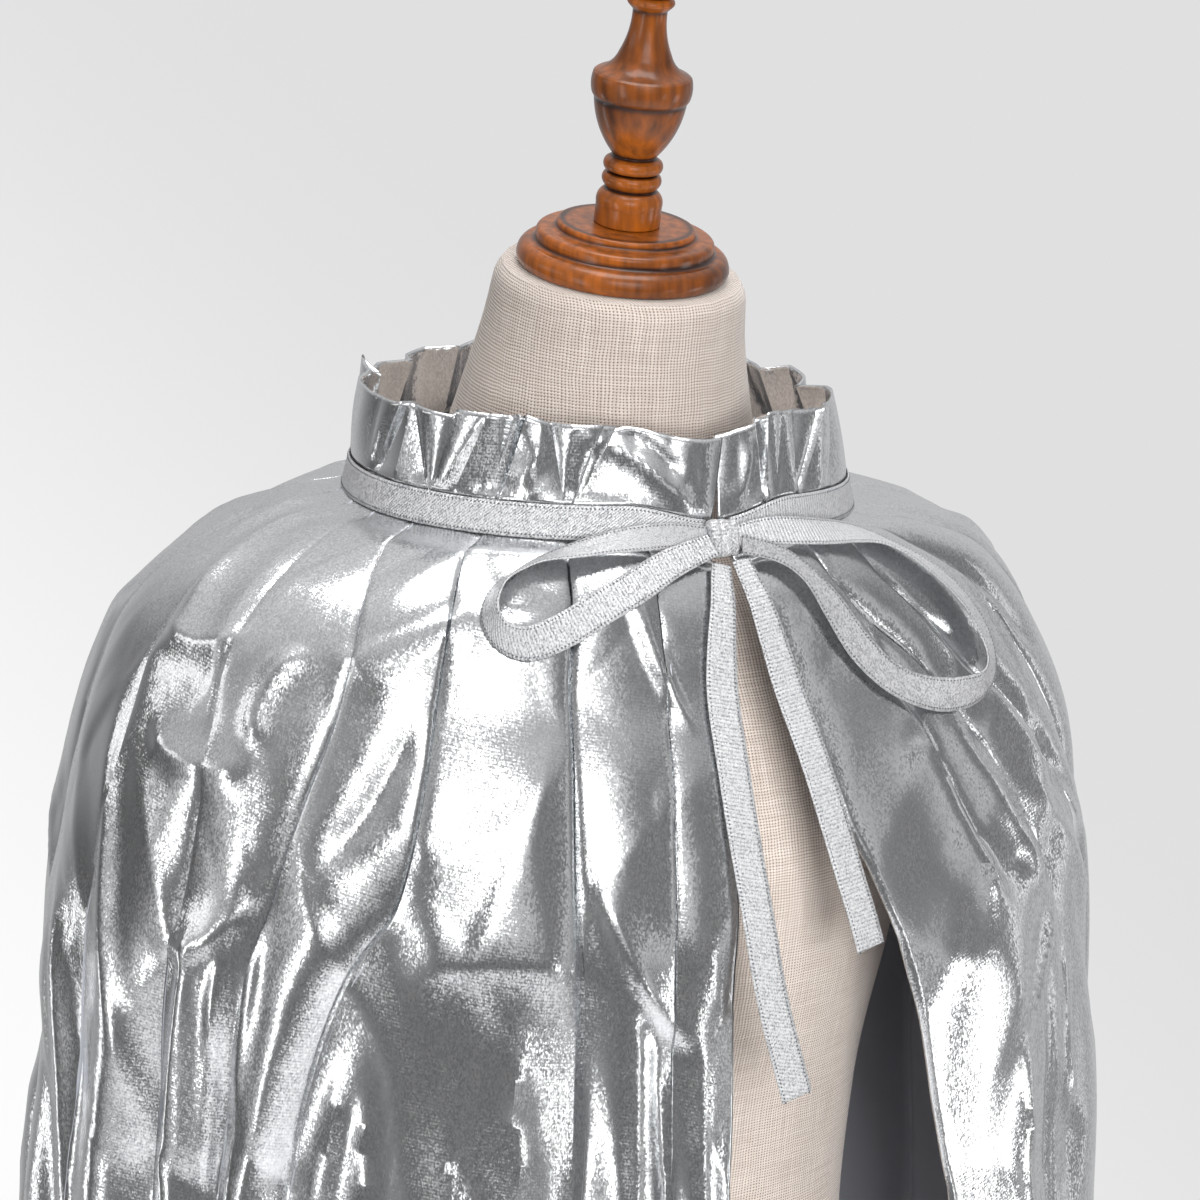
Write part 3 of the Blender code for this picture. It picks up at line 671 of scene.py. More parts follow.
def ring_point(level, angle):
    """Points of the cape's outer form on its levels, at angles round them."""
    y = level[..., 3] - level[..., 2] * np.cos(angle)
    turn = from_front(angle)
    swing = hump(turn, NECK_RISE_SPAN) * (1 - ease(turn / NECK_LOW_SPAN))
    dip = hump(turn, NECK_DIP_SPAN)
    near_neck = ease((level[..., 0] - NECK_RISE_FOOT) / (CAPE_LEVELS[1].height - NECK_RISE_FOOT))
    z = level[..., 0] + level[..., 4] * y + near_neck * (NECK_RISE * swing - NECK_DIP * dip)
    return np.stack([level[..., 1] * np.sin(angle), y, z], axis=-1)


def outside(levels, place, angle):
    """Points of the outer form through some levels, the way out from them and the way round."""
    last = len(levels) - 1
    level = through(levels, place)
    above = ring_point(through(levels, np.clip(place - LEVEL_STEP, 0, last)), angle)
    below = ring_point(through(levels, np.clip(place + LEVEL_STEP, 0, last)), angle)
    across = ring_point(level, angle + RING_STEP) - ring_point(level, angle - RING_STEP)
    return ring_point(level, angle), unit(np.cross(across, above - below)), across


def fold_lines(level, place):
    """Angles of the left front edge, the tucks and the right front edge at some levels."""
    edge_height = level[..., 0] - level[..., 4] * level[..., 2]
    edges = np.array(FRONT_EDGES[::-1])
    left_x = np.interp(edge_height, edges[:, 0], edges[:, 2])
    right_x = np.interp(edge_height, edges[:, 0], edges[:, 1])
    fall = np.interp(place, TUCK_LEVELS, np.arange(len(TUCK_LEVELS)))
    turns = np.radians([tuck[:len(TUCK_LEVELS)] for tuck in TUCKS]).T
    lines = [np.arcsin(left_x / level[..., 1]), *through(turns, fall).T]
    lines.append(math.tau + np.arcsin(right_x / level[..., 1]))
    return np.stack(lines, axis=-1)


def crease_height(creases, angle, down, radius):
    """How far some creases lift or sink the cloth, at angles round it and distances down it."""
    total = np.zeros_like(down)
    for crease in creases:
        middle = math.radians((crease.from_deg + crease.to_deg) / 2)
        turn = from_front(angle - middle)
        near = np.abs(turn) < CREASE_TURN
        beside = near & (np.abs(down - crease.from_mm / 1000) < CREASE_BAND)
        if not beside.any():
            continue
        mean_radius = float(np.mean(radius[beside]))
        run_round = math.radians(crease.to_deg - crease.from_deg) * mean_radius
        run = np.array([run_round, (crease.to_mm - crease.from_mm) / 1000])
        length = np.linalg.norm(run)
        run = run / length
        x = turn * radius
        y = down - (crease.from_mm + crease.to_mm) / 2000
        part = (x * run[0] + y * run[1]) / length + 0.5
        aside = y * run[0] - x * run[1]
        aside = aside - crease.sag_mm / 1000 * (1 - (2 * np.clip(part, 0, 1) - 1) ** 2)
        spread = 1 + (crease.flare - 1) * np.clip(part, 0, 1)
        reach = np.where(aside < 0, crease.right_mm, crease.left_mm) / 1000 * spread
        distance = np.sqrt(aside ** 2 + CREASE_ROUND ** 2) - CREASE_ROUND
        shape = np.clip(1 - distance / reach, 0, 1) ** 2
        taper = ease(part / CREASE_TAPER + CREASE_END) * ease((1 - part) / CREASE_TAPER + CREASE_END)
        total = total + np.where(near, crease.lift_mm / 1000 * shape * taper, 0)
    return total


def facets(x, y, seed, width, height):
    """Tilted pillows that meet in sharp uneven valleys, up to about 1 high, in cells of a size."""
    draw = np.random.default_rng(seed)
    shifts = draw.uniform(0, 1, (FACET_CELLS, FACET_CELLS, 2))
    slopes = draw.uniform(-FACET_TILT, FACET_TILT, (FACET_CELLS, FACET_CELLS, 2))
    bent_x = x / width + 0.35 * np.sin(y / height * 2.3 + seed) + 0.2 * np.sin(y / height * 5.1)
    bent_y = y / height + 0.30 * np.sin(x / width * 1.7 + seed * 2)
    column = np.floor(bent_x).astype(int)
    row = np.floor(bent_y).astype(int)
    highest = np.full_like(x, -np.inf)
    for right in (-1, 0, 1):
        for lower in (-1, 0, 1):
            cell = ((column + right) % FACET_CELLS, (row + lower) % FACET_CELLS)
            shift = shifts[cell]
            slope = slopes[cell]
            away_x = bent_x - (column + right + shift[..., 0])
            away_y = bent_y - (row + lower + shift[..., 1])
            pillow = slope[..., 0] * away_x + slope[..., 1] * away_y - away_x ** 2 - away_y ** 2
            highest = np.maximum(highest, pillow)
    return highest


def cape_surface(first, last):
    """Points of a panel's outer face, between two counts of puffs, and its lengths across and down."""
    places = [np.linspace(start, end, rows, endpoint=False) for start, end, rows in ROW_SPANS]
    places = np.concatenate([*places, [ROW_SPANS[-1][1]]])
    counts = []
    under = []
    for number in range(first, last):
        counts.extend(number + np.arange(COLUMNS_PER_PUFF) / COLUMNS_PER_PUFF)
        under.extend([False] * COLUMNS_PER_PUFF)
        if number + 1 < last:
            counts.extend([number + 1 - HAIR, number + 1])
            under.extend([False, True])
    counts = np.array([*counts, last - HAIR])
    under = np.array([*under, False])
    level = through(CAPE_LEVELS, places)[:, None, :]
    lines = fold_lines(level[:, 0, :], places)
    number = np.minimum(counts.astype(int), PUFF_COUNT - 1)
    part = (counts - number)[None, :]
    start = lines[:, number]
    end = lines[:, number + 1]
    angle = start + part * (end - start)
    if first > 0:
        angle[:, 0] += SEAM_GAP / 2 / level[:, 0, 2]
    if last < PUFF_COUNT:
        angle[:, -1] -= SEAM_GAP / 2 / level[:, 0, 2]
    point, out, across = outside(CAPE_LEVELS, places[:, None], angle)
    down = lengths(point, 0)
    at_foot = np.argmin(np.abs(places - RIBBON_FOOT))
    down = down - down[at_foot:at_foot + 1]
    radius = np.linalg.norm(across, axis=-1) / (2 * RING_STEP)

    weight = np.array([EDGE_WEIGHT, *(tuck.weight for tuck in TUCKS), EDGE_WEIGHT])
    low_weight = np.array([EDGE_WEIGHT, *(tuck.low_weight for tuck in TUCKS), EDGE_WEIGHT])
    lap_mm = np.array([0, *(tuck.lap_mm for tuck in TUCKS), 0])
    open_down = ease((down - OPEN_FROM) / OPEN_OVER)
    power = PINCHED_POWER + open_down * (level[..., 6] - PINCHED_POWER)
    puff = np.maximum(0, np.sin(math.pi * part)) ** power
    press = weight[number] * (1 - part) + weight[number + 1] * part
    low_press = low_weight[number] * (1 - part) + low_weight[number + 1] * part
    press = press + open_down * (low_press - press)
    rise = -press * level[..., 5] * (1 - puff) * (PINCHED_SHARE + (1 - PINCHED_SHARE) * open_down)
    over_start = np.clip(lap_mm[number] / 2, 0, 1)[None, :]
    over_end = np.clip(-lap_mm[number + 1] / 2, 0, 1)[None, :]
    over = over_start * (1 - part) ** 3 + over_end * part ** 3
    rise = rise * (1 - LAP_FLATTENS * over * (1 - LAP_OPENS * open_down))

    creased = crease_height(FRONT_CREASES + BACK_CREASES, angle, down, radius)
    girth = angle * CAPE_RADIUS
    patchy = 0.55 + 0.45 * np.sin(girth * 31 + 2 * np.sin(down * 17)) * np.sin(down * 23 + girth * 9)
    loose = sum(
        fold.lift * patchy ** fold.patchy * facets(girth, down, fold.seed, fold.width, fold.height)
        for fold in LOOSE_FOLDS
    )
    loose = loose * (LOOSE_AT_NECK + (1 - LOOSE_AT_NECK) * ease((down - LOOSE_FROM) / LOOSE_OVER))
    held = ease(down / HELD_DROP)
    rise = rise + (creased + loose) * held
    turn = np.abs(from_front(angle))
    under_bow = np.zeros_like(down)
    for area in BOW_AREAS:
        inside = ease((area.turn - turn) / area.turn_edge) * ease((area.drop - down) / area.drop_edge)
        under_bow = np.maximum(under_bow, inside)
    room = LOOSE_ROOM - (LOOSE_ROOM - BOW_ROOM) * under_bow
    rise = np.where(rise > room, room + OVER_ROOM_SHARE * (rise - room), rise)

    lap = np.where(under, lap_mm[number] / 1000 * (1 - open_down) * held, 0)
    rise = rise - np.abs(lap) * LAP_SINKS
    point = point + out * rise[..., None] + unit(across) * lap[..., None]
    return point, np.stack([lengths(point, 1), -down], axis=-1)


def clear_of(tree, point, clearance):
    """A grid of points moved out until it is clear of a solid."""
    flat = point.reshape(-1, 3)
    for index, spot in enumerate(flat):
        hit, normal, _, distance = tree.find_nearest(Vector(spot), 0.02)
        if hit is None:
            continue
        away = (Vector(spot) - hit).dot(normal)
        if away < clearance:
            flat[index] = Vector(spot) + normal * (clearance - away)
    return flat.reshape(point.shape)


def flecked(tree, fleck, tilt):
    """Flecks of a size that each tilt their own way: their normals, and a tone for each."""
    spot = add_node(tree, "ShaderNodeTexCoord").outputs["Object"]
    slim = {"Vector": spot, "Scale": (1, 1, FLECK_WIDTH_SHARE)}
    tall = add_node(tree, "ShaderNodeMapping", slim).outputs["Vector"]
    cells = add_node(tree, "ShaderNodeTexVoronoi", {"Vector": tall, "Scale": 1 / fleck}).outputs["Color"]
    lean = mixed(tree, tilt, (0.5, 0.5, 1.0, 1.0), cells)
    normal = add_node(tree, "ShaderNodeNormalMap", {"Color": lean}, uv_map="Cloth").outputs["Normal"]
    return normal, add_node(tree, "ShaderNodeSeparateColor", {"Color": cells}).outputs["Red"]


def foil_cloth():
    """Foil-coated knit: a near mirror, broken into fine flecks that scatter where light meets dark."""
    material, tree, shader = new_material("Silver foil-coated knit")
    cloth = add_node(tree, "ShaderNodeUVMap", uv_map="Cloth").outputs["UV"]
    courses = add_node(tree, "ShaderNodeSeparateXYZ", {"Vector": cloth}).outputs["Y"]
    knit = ribs(tree, courses, KNIT_PITCH)
    normal, tone = flecked(tree, FOIL_FLECK, FOIL_FLECK_TILT)
    relief = {"Height": knit, "Distance": KNIT_RELIEF, "Strength": 1.0, "Normal": normal}
    rise = add_node(tree, "ShaderNodeBump", relief).outputs["Normal"]
    colour = mixed(tree, tone, linear(FOIL_GRAIN), linear(FOIL_SILVER))
    feed(tree, shader, {"Base Color": colour, "Normal": rise, "Metallic": 1.0, "Roughness": 0.19})
    return material


def matt(name, colour, roughness):
    """A plain material without shine, for the knit's uncoated inner side and for thread."""
    material, tree, shader = new_material(name)
    feed(tree, shader, {"Base Color": linear(colour), "Roughness": roughness})
    return material


foil = foil_cloth()
backing = matt("Slate knit backing", FOIL_INSIDE, 0.75)


def thickened(piece, thick, offset):
    """The cloth's thickness, with the second material on its inner side."""
    wall = piece.modifiers.new("Wall", "SOLIDIFY")
    wall.thickness = thick
    wall.offset = offset
    wall.material_offset = 1 if len(piece.data.materials) > 1 else 0
    return wall


CAPE_PANELS = (
    ("foil_front_left", "cape_front_left", 0, LEFT_SEAM, (0.54, 1.00)),
    ("foil_back", "cape_back", LEFT_SEAM, RIGHT_SEAM, (0.60, 1.00)),
    ("foil_front_right", "cape_front_right", RIGHT_SEAM, PUFF_COUNT, (0.63, 1.00)),
)
for panel_name, node, first, last, flat in CAPE_PANELS:
    points, coordinates = cape_surface(first, last)
    points = clear_of(form_tree, points, CLOTH_THICK + FORM_CLEAR)
    mesh = grid_mesh(panel_name, points, coordinates)
    mesh.set_sharp_from_angle(angle=math.radians(40))
    mesh.materials.append(foil)
    mesh.materials.append(backing)
    panel = placed(panel_name, mesh)
    thickened(panel, CLOTH_THICK, -1)
    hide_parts(node)
    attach(panel, "root")

# Neck frill: the top of the same cloth, folded double and left standing above the ribbon. Its knife
# folds are pinched at the ribbon and lean apart above it, so foil shows on both its faces.
FRILL_THICK = 0.0014
FRILL_HEIGHT = 0.035
FRILL_FOOT_GAP = 0.0008
FRILL_RIM = Level(0, 0.1070, 0.0948, 0.0025, 0.125, 0, 0)
FRILL_ROWS = 16
FRILL_STEPS = 8
FRILL_BULGE = 0.0010
FRILL_PINCH = 0.3
FRILL_PINCH_CLIMB = 0.15
RIBBON_GAP = 0.0004
FrillFold = namedtuple("FrillFold", "foot_deg rim_deg foot_mm rim_mm rise_mm")
LEFT_FRILL_FOLDS = (
    FrillFold(0.6, 2.4, -0.6, -2.2, -1.6),
    FrillFold(6.0, 8.0, 0.6, 0.6, -1.0),
    FrillFold(12.4, 12.6, 0.9, 2.4, -1.4),
    FrillFold(14.4, 15.2, -2.5, -2.4, -0.6),
    FrillFold(15.1, 16.2, -1.8, 3.6, 1.2),
    FrillFold(17.6, 22.0, -0.7, 0.9, 0.4),
    FrillFold(23.0, 30.0, 0.5, -2.1, 0.0),
    FrillFold(25.2, 37.5, -2.8, 2.4, -0.6),
    FrillFold(25.8, 39.2, -3.7, -1.5, -1.0),
    FrillFold(26.6, 41.6, -2.5, 3.6, -0.2),
    FrillFold(33.0, 50.0, 0.9, 0.9, -1.6),
    FrillFold(39.4, 57.0, -0.9, -2.4, -2.0),
    FrillFold(56.0, 66.0, 0.7, 1.5, -1.8),
    FrillFold(72.0, 73.0, 0.0, 3.4, -0.6),
)
RIGHT_FRILL_FOLDS = (
    FrillFold(-121, -131, 0.0, 4.5, 4.5),
    FrillFold(-119, -122, -1.5, -2.0, 1.0),
    FrillFold(-116, -98, 0.4, 4.2, 2.0),
    FrillFold(-95.5, -87.0, -0.6, 4.0, 0.2),
    FrillFold(-92, -78.4, -2.8, 4.8, 0.0),
    FrillFold(-91, -77.6, -3.9, -2.2, -0.2),
    FrillFold(-90, -76.5, -2.8, 2.4, 0.2),
    FrillFold(-80.0, -76.0, 1.8, 1.8, 0.2),
    FrillFold(-70.8, -75.4, -3.0, 1.2, 0.0),
    FrillFold(-70.1, -68.5, -3.2, 3.9, -0.8),
    FrillFold(-69.4, -62.2, -3.4, 0.9, -2.0),
    FrillFold(-69.2, -62.6, -3.9, -2.7, -0.4),
    FrillFold(-69.0, -61.2, -3.0, 2.7, 1.4),
    FrillFold(-68.0, -53.4, -2.5, 2.7, 0.8),
    FrillFold(-61.5, -53.0, 1.6, 2.4, 0.8),
    FrillFold(-55.4, -52.4, -2.8, 1.5, 0.6),
    FrillFold(-53.2, -48.5, -3.4, -3.3, 0.0),
    FrillFold(-51.2, -45.2, -2.8, 2.4, 1.2),
    FrillFold(-50.8, -44.6, -3.9, -2.4, 0.8),
    FrillFold(-50.2, -43.4, -2.5, 3.0, 1.6),
    FrillFold(-42.0, -40.0, 2.1, 1.5, -0.4),
    FrillFold(-35.0, -38.0, -2.8, -1.2, -1.6),
    FrillFold(-34.4, -32.5, -3.2, 3.9, -1.8),
    FrillFold(-33.4, -26.2, -3.0, 0.6, -2.0),
    FrillFold(-33.0, -25.4, -3.7, -2.1, -2.4),
    FrillFold(-32.2, -22.2, -3.4, -3.9, -3.4),
    FrillFold(-22.0, -17.0, -1.4, -2.7, -3.0),
    FrillFold(-12.0, -9.0, 0.5, 0.6, -2.6),
    FrillFold(-5.0, -4.6, 1.4, 2.8, -2.0),
    FrillFold(-1.4, 3.4, 1.0, 2.4, -1.8),
)
HIDDEN_FOLD_DEG = 6.2
# Loose creases across the frill, with millimetres down from its rim.
FRILL_CREASES = (
    Crease(-31, 3, -5, 32, -3, 2.4, 9, 7),
    Crease(-22, 2, -8, 19, -2, -1.8, 6, 6),
    Crease(-47, 30, -40, 8, 2, 1.4, 5, 7),
    Crease(6, 30, 11, 6, 1, 1.4, 5, 6),
)

draw = np.random.default_rng(3)
hidden_folds = []
hidden_from = LEFT_FRILL_FOLDS[-1].foot_deg + 6
hidden_to = RIGHT_FRILL_FOLDS[0].foot_deg + 360 - 4
hidden_degrees = np.arange(hidden_from, hidden_to, HIDDEN_FOLD_DEG)
for place, degrees in enumerate(hidden_degrees):
    inward = place % 3 == 1
    hidden_folds.append(
        FrillFold(
            degrees + draw.uniform(-0.7, 0.7),
            degrees + draw.uniform(-1.8, 1.8),
            -1.6 if inward else 0.2,
            draw.uniform(-8.0, -5.0) if inward else draw.uniform(0.4, 3.4),
            draw.uniform(-3.4, 1.0),
        )
    )
right_folds = np.array(RIGHT_FRILL_FOLDS) + np.array([360, 360, 0, 0, 0])
frill_folds = np.array([*LEFT_FRILL_FOLDS, *hidden_folds, *right_folds])
counts = np.arange((len(frill_folds) - 1) * FRILL_STEPS + 1) / FRILL_STEPS
number = np.minimum(counts.astype(int), len(frill_folds) - 2)
part = (counts - number)[:, None]
along_frill = frill_folds[number] * (1 - part) + frill_folds[number + 1] * part
climb = np.linspace(1, 0, FRILL_ROWS + 1)[:, None]
foot = through(CAPE_LEVELS, np.array([SEAM_LEVEL]))[0]
rim = np.array(FRILL_RIM)
rim[0] = foot[0] + FRILL_HEIGHT
foot = foot + np.array([FRILL_FOOT_GAP, -RIBBON_GAP, -RIBBON_GAP, 0, 0, 0, 0])
level = foot + climb[..., None] * (rim - foot)
angle = np.radians(along_frill[:, 0] + climb * (along_frill[:, 1] - along_frill[:, 0]))
pinched = along_frill[:, 2] * (FRILL_PINCH + (1 - FRILL_PINCH) * ease(climb / FRILL_PINCH_CLIMB))
rise = (pinched + climb * (along_frill[:, 3] - along_frill[:, 2])) / 1000
wide = np.abs(frill_folds[number + 1, 1] - frill_folds[number, 1]) / 10
bulge = np.sin(math.pi * part[:, 0]) * np.sin(math.pi * climb * 0.8)
rise = rise + FRILL_BULGE * np.minimum(wide, 1.5) * bulge
below_rim = np.repeat((1 - climb) * FRILL_HEIGHT, len(counts), axis=1)
frill_radius = np.full_like(angle, FRILL_RIM.half_depth)
rise = rise + crease_height(FRILL_CREASES, angle, below_rim, frill_radius)
point = ring_point(level, angle)
out = np.stack([np.sin(angle), -np.cos(angle), 0 * angle], axis=-1)
point = point + out * rise[..., None]
point[..., 2] += climb ** 2 * along_frill[:, 4] / 1000
frill_coordinates = np.stack(
    [lengths(point, 1), np.repeat(FRILL_HEIGHT * climb, len(counts), axis=1)], axis=-1
)
frill_mesh = grid_mesh("foil_frill", point, frill_coordinates)
frill_mesh.set_sharp_from_angle(angle=math.radians(25))
frill_mesh.materials.append(foil)
frill = placed("foil_frill", frill_mesh)
thickened(frill, FRILL_THICK, -1)
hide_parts("neck_frill")
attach(frill, "root")

# Neck ribbon: a 15 mm silver lurex ribbon, ribbed across and with a stitched edge on either side,
# sewn round the neck over the gathers. It meets at the knot in front.
RIBBON_THICK = 0.0005
RIBBON_ROWS = 7
RIBBON_STEPS = 300
RIBBON_END_DEG = 3.0
RIBBON_SILVER = "#dadadb"
# The darker colour of the glitter's grains, also painted as shade in the valleys between the ribs.
RIBBON_GRAIN_AND_SHADE = "#888a8e"
# Ribs and grains of glitter, coarser than real so that they show.
RIBBON_RIB_PITCH = 0.0017
RIBBON_RELIEF = 0.0002
GLITTER_FLECK = 0.0004
GLITTER_TILT = 0.26
STITCH_PITCH = 0.0018
STITCH_LENGTH = 0.0012
STITCH_THICK = 0.0010
STITCH_LINE = 0.82
THREAD_GREY = "#55575c"


def lurex():
    """Silver lurex: cross ribs of glittering thread that catch the light grain by grain."""
    material, tree, shader = new_material("Silver lurex ribbon")
    cloth = add_node(tree, "ShaderNodeUVMap", uv_map="Cloth").outputs["UV"]
    along = add_node(tree, "ShaderNodeSeparateXYZ", {"Vector": cloth}).outputs["X"]
    rib = ribs(tree, along, RIBBON_RIB_PITCH)
    normal, tone = flecked(tree, GLITTER_FLECK, GLITTER_TILT)
    # Valleys between the ribs take the darker colour as painted shade, on top of the glitter's random
    # tone.
    bright = mapped(tree, worked(tree, "MULTIPLY_ADD", rib, 0.45, tone), 0.2, 1.0)
    colour = mixed(tree, bright, linear(RIBBON_GRAIN_AND_SHADE), linear(RIBBON_SILVER))
    relief = {"Height": rib, "Distance": RIBBON_RELIEF, "Strength": 1.0, "Normal": normal}
    rise = add_node(tree, "ShaderNodeBump", relief).outputs["Normal"]
    feed(tree, shader, {"Base Color": colour, "Normal": rise, "Metallic": 0.35, "Roughness": 0.34})
    return material


def stitch_tree():
    """Geometry nodes that set short round stitches along each line of a mesh."""
    tree = bpy.data.node_groups.new("Edge stitches", "GeometryNodeTree")
    tree.interface.new_socket("Geometry", in_out="INPUT", socket_type="NodeSocketGeometry")
    for size in ("Pitch", "Length", "Thickness"):
        tree.interface.new_socket(size, in_out="INPUT", socket_type="NodeSocketFloat")
    tree.interface.new_socket("Thread", in_out="INPUT", socket_type="NodeSocketMaterial")
    tree.interface.new_socket("Geometry", in_out="OUTPUT", socket_type="NodeSocketGeometry")
    given = add_node(tree, "NodeGroupInput").outputs
    line = add_node(tree, "GeometryNodeMeshToCurve", {"Mesh": given["Geometry"]})
    spaced = add_node(
        tree,
        "GeometryNodeResampleCurve",
        {"Curve": line.outputs["Curve"], "Length": given["Pitch"]},
        mode="LENGTH",
    )
    tangent = add_node(tree, "GeometryNodeInputTangent")
    turned_along = add_node(
        tree, "FunctionNodeAlignRotationToVector", {"Vector": tangent.outputs["Tangent"]}, axis="X"
    )
    stitch = add_node(tree, "GeometryNodeMeshUVSphere", {"Segments": 6, "Rings": 4, "Radius": 0.5})
    size = add_node(
        tree,
        "ShaderNodeCombineXYZ",
        {"X": given["Length"], "Y": given["Thickness"], "Z": given["Thickness"]},
    )
    sewn = add_node(
        tree,
        "GeometryNodeInstanceOnPoints",
        {
            "Points": spaced.outputs["Curve"],
            "Instance": stitch.outputs["Mesh"],
            "Rotation": turned_along.outputs["Rotation"],
            "Scale": size.outputs["Vector"],
        },
    )
    whole = add_node(tree, "GeometryNodeRealizeInstances", {"Geometry": sewn.outputs["Instances"]})
    dyed = add_node(
        tree,
        "GeometryNodeSetMaterial",
        {"Geometry": whole.outputs["Geometry"], "Material": given["Thread"]},
    )
    add_node(tree, "NodeGroupOutput", {"Geometry": dyed.outputs["Geometry"]})
    return tree


ribbon_cloth = lurex()
edge_thread = matt("Grey edge thread", THREAD_GREY, 0.7)
edge_stitches = stitch_tree()


def stitched_edges(name, rows, offset):
    """The stitches near both edges of a ribbon, through its thickness."""
    middle = (rows[0] + rows[-1]) / 2
    half = (rows[0] - rows[-1]) / 2
    along = np.gradient(middle, axis=0)
    out = unit(np.cross(along, half)) * offset * RIBBON_THICK / 2
    lines = [middle + side * STITCH_LINE * half + out for side in (1, -1)]
    count = len(middle)
    steps = [(start + step, start + step + 1) for start in (0, count) for step in range(count - 1)]
    mesh = bpy.data.meshes.new(name)
    mesh.from_pydata(np.concatenate(lines).tolist(), steps, [])
    piece = placed(name, mesh)
    sewing = piece.modifiers.new("Sewing", "NODES")
    sewing.node_group = edge_stitches
    sizes = {
        "Pitch": STITCH_PITCH,
        "Length": STITCH_LENGTH,
        "Thickness": STITCH_THICK,
        "Thread": edge_thread,
    }
    for item in edge_stitches.interface.items_tree:
        if item.in_out == "INPUT" and item.name in sizes:
            sewing[item.identifier] = sizes[item.name]
    view = bpy.context.evaluated_depsgraph_get()
    sewn = bpy.data.meshes.new_from_object(piece.evaluated_get(view), depsgraph=view)
    piece.modifiers.remove(sewing)
    piece.data = sewn
    sewn.shade_smooth()
    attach(piece, "root")
    return piece


def ribbon_piece(name, rows, node, offset):
    length = lengths(rows, 1)
    width = lengths(rows, 0)
    mesh = grid_mesh(name, rows, np.stack([length, width], axis=-1))
    mesh.materials.append(ribbon_cloth)
    piece = placed(name, mesh)
    thickened(piece, RIBBON_THICK, offset)
    sewing = stitched_edges(name + "_stitches", rows, offset)
    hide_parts(node)
    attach(piece, "root")
    return piece


turn = np.radians(np.linspace(RIBBON_END_DEG, 360 - RIBBON_END_DEG, RIBBON_STEPS))
edges = []
for place in (0.0, RIBBON_FOOT):
    point, out, _ = outside(CAPE_LEVELS, np.array([place]), turn)
    edges.append(point + out * RIBBON_GAP)
share = np.linspace(0, 1, RIBBON_ROWS)[:, None, None]
neck_rows = edges[0] + share * (edges[1] - edges[0])
ribbon_piece("lurex_neck_ribbon", neck_rows, "neck_ribbon", 1)

# Bow: the same ribbon tied at centre front, a knot over the neck ribbon, two loops that lie on the
# cape with their tips on edge, and two cut tails that hang down the opening.
KNOT_WIDTH = 0.0134
KNOT_DEPTH = 0.0085
KNOT_HEIGHT = 0.017
KNOT_COLUMNS = 41
KNOT_RING = 56
KNOT_SQUARE = 0.6
KnotFold = namedtuple("KnotFold", "place depth_share height_share")
KNOT_FOLDS = (
    KnotFold(-1.0, 0.78, 0.86),
    KnotFold(-0.86, 0.97, 0.95),
    KnotFold(-0.52, 1.00, 1.00),
    KnotFold(-0.30, 0.88, 0.96),
    KnotFold(-0.06, 1.00, 0.98),
    KnotFold(0.34, 0.98, 0.93),
    KnotFold(0.52, 0.86, 0.90),
    KnotFold(0.82, 0.94, 0.92),
    KnotFold(1.0, 0.76, 0.84),
)
KNOT_X = -0.001
KNOT_LEVEL = 0.55
STRETCH_STEPS = 14
Stretch = namedtuple("Stretch", "x_mm height_mm lift_mm width_mm roll_deg")
BOW_LOOP_RIGHT = (
    Stretch(-8.2, 1383, 5.5, 10, 0),
    Stretch(-28, 1378, 5.0, 13, 0),
    Stretch(-46, 1371, 4.0, 15, 0),
    Stretch(-64, 1364, 3.0, 15, 0),
    Stretch(-83, 1355, 3.0, 15, -6),
    Stretch(-98, 1350, 4.6, 15, -24),
    Stretch(-108, 1353, 7.2, 15, -50),
    Stretch(-111, 1361, 8.4, 15, -62),
    Stretch(-106, 1369, 8.4, 15, -62),
    Stretch(-94, 1375, 7.8, 15, -55),
    Stretch(-78, 1381, 6.4, 15, -45),
    Stretch(-52, 1387, 4.4, 14, -24),
    Stretch(-27, 1389, 2.6, 12, -4),
    Stretch(-8.2, 1387, 2.4, 10, 0),
)
BOW_LOOP_LEFT = (
    Stretch(6.0, 1386, 2.6, 10, 0),
    Stretch(24, 1387, 3.2, 13, -4),
    Stretch(48, 1384, 4.2, 15, -14),
    Stretch(76, 1378, 5.2, 15, -22),
    Stretch(104, 1364, 5.2, 15, -22),
    Stretch(124, 1349, 4.8, 15, -18),
    Stretch(136, 1332, 4.4, 15, -12),
    Stretch(135, 1319, 5.4, 15, -20),
    Stretch(123, 1311, 6.6, 15, -36),
    Stretch(106, 1310, 5.2, 15, -24),
    Stretch(88, 1314, 3.2, 15, -6),
    Stretch(70, 1323, 3.0, 15, 0),
    Stretch(55, 1338, 3.0, 15, 0),
    Stretch(44, 1355, 3.6, 14, 6),
    Stretch(34, 1368, 5.0, 11, 14),
    Stretch(22, 1377, 5.8, 9, 8),
    Stretch(6.0, 1382, 5.6, 9, 0),
)
RIBBON_TAIL_RIGHT = (
    Stretch(-5, 1375.9, 2.6, 9, 0),
    Stretch(-13, 1352, 2.6, 13, 0),
    Stretch(-18, 1325, 2.4, 15, 0),
    Stretch(-20, 1290, 2.4, 15, 0),
    Stretch(-19, 1250, 2.4, 15, 0),
    Stretch(-15, 1205, 2.4, 15, 0),
    Stretch(-3, 1156, 2.4, 15, 0),
)
RIBBON_TAIL_LEFT = (
    Stretch(4, 1376.6, 4.4, 9, 0),
    Stretch(9, 1350, 3.6, 13, 0),
    Stretch(15, 1320, 2.8, 15, 0),
    Stretch(22, 1286, 2.4, 15, 0),
    Stretch(29, 1250, 2.4, 15, 0),
    Stretch(37, 1215, 2.4, 15, 0),
)
BOW_LEVELS = (CAPE_LEVELS[0], *CAPE_LEVELS[2:])


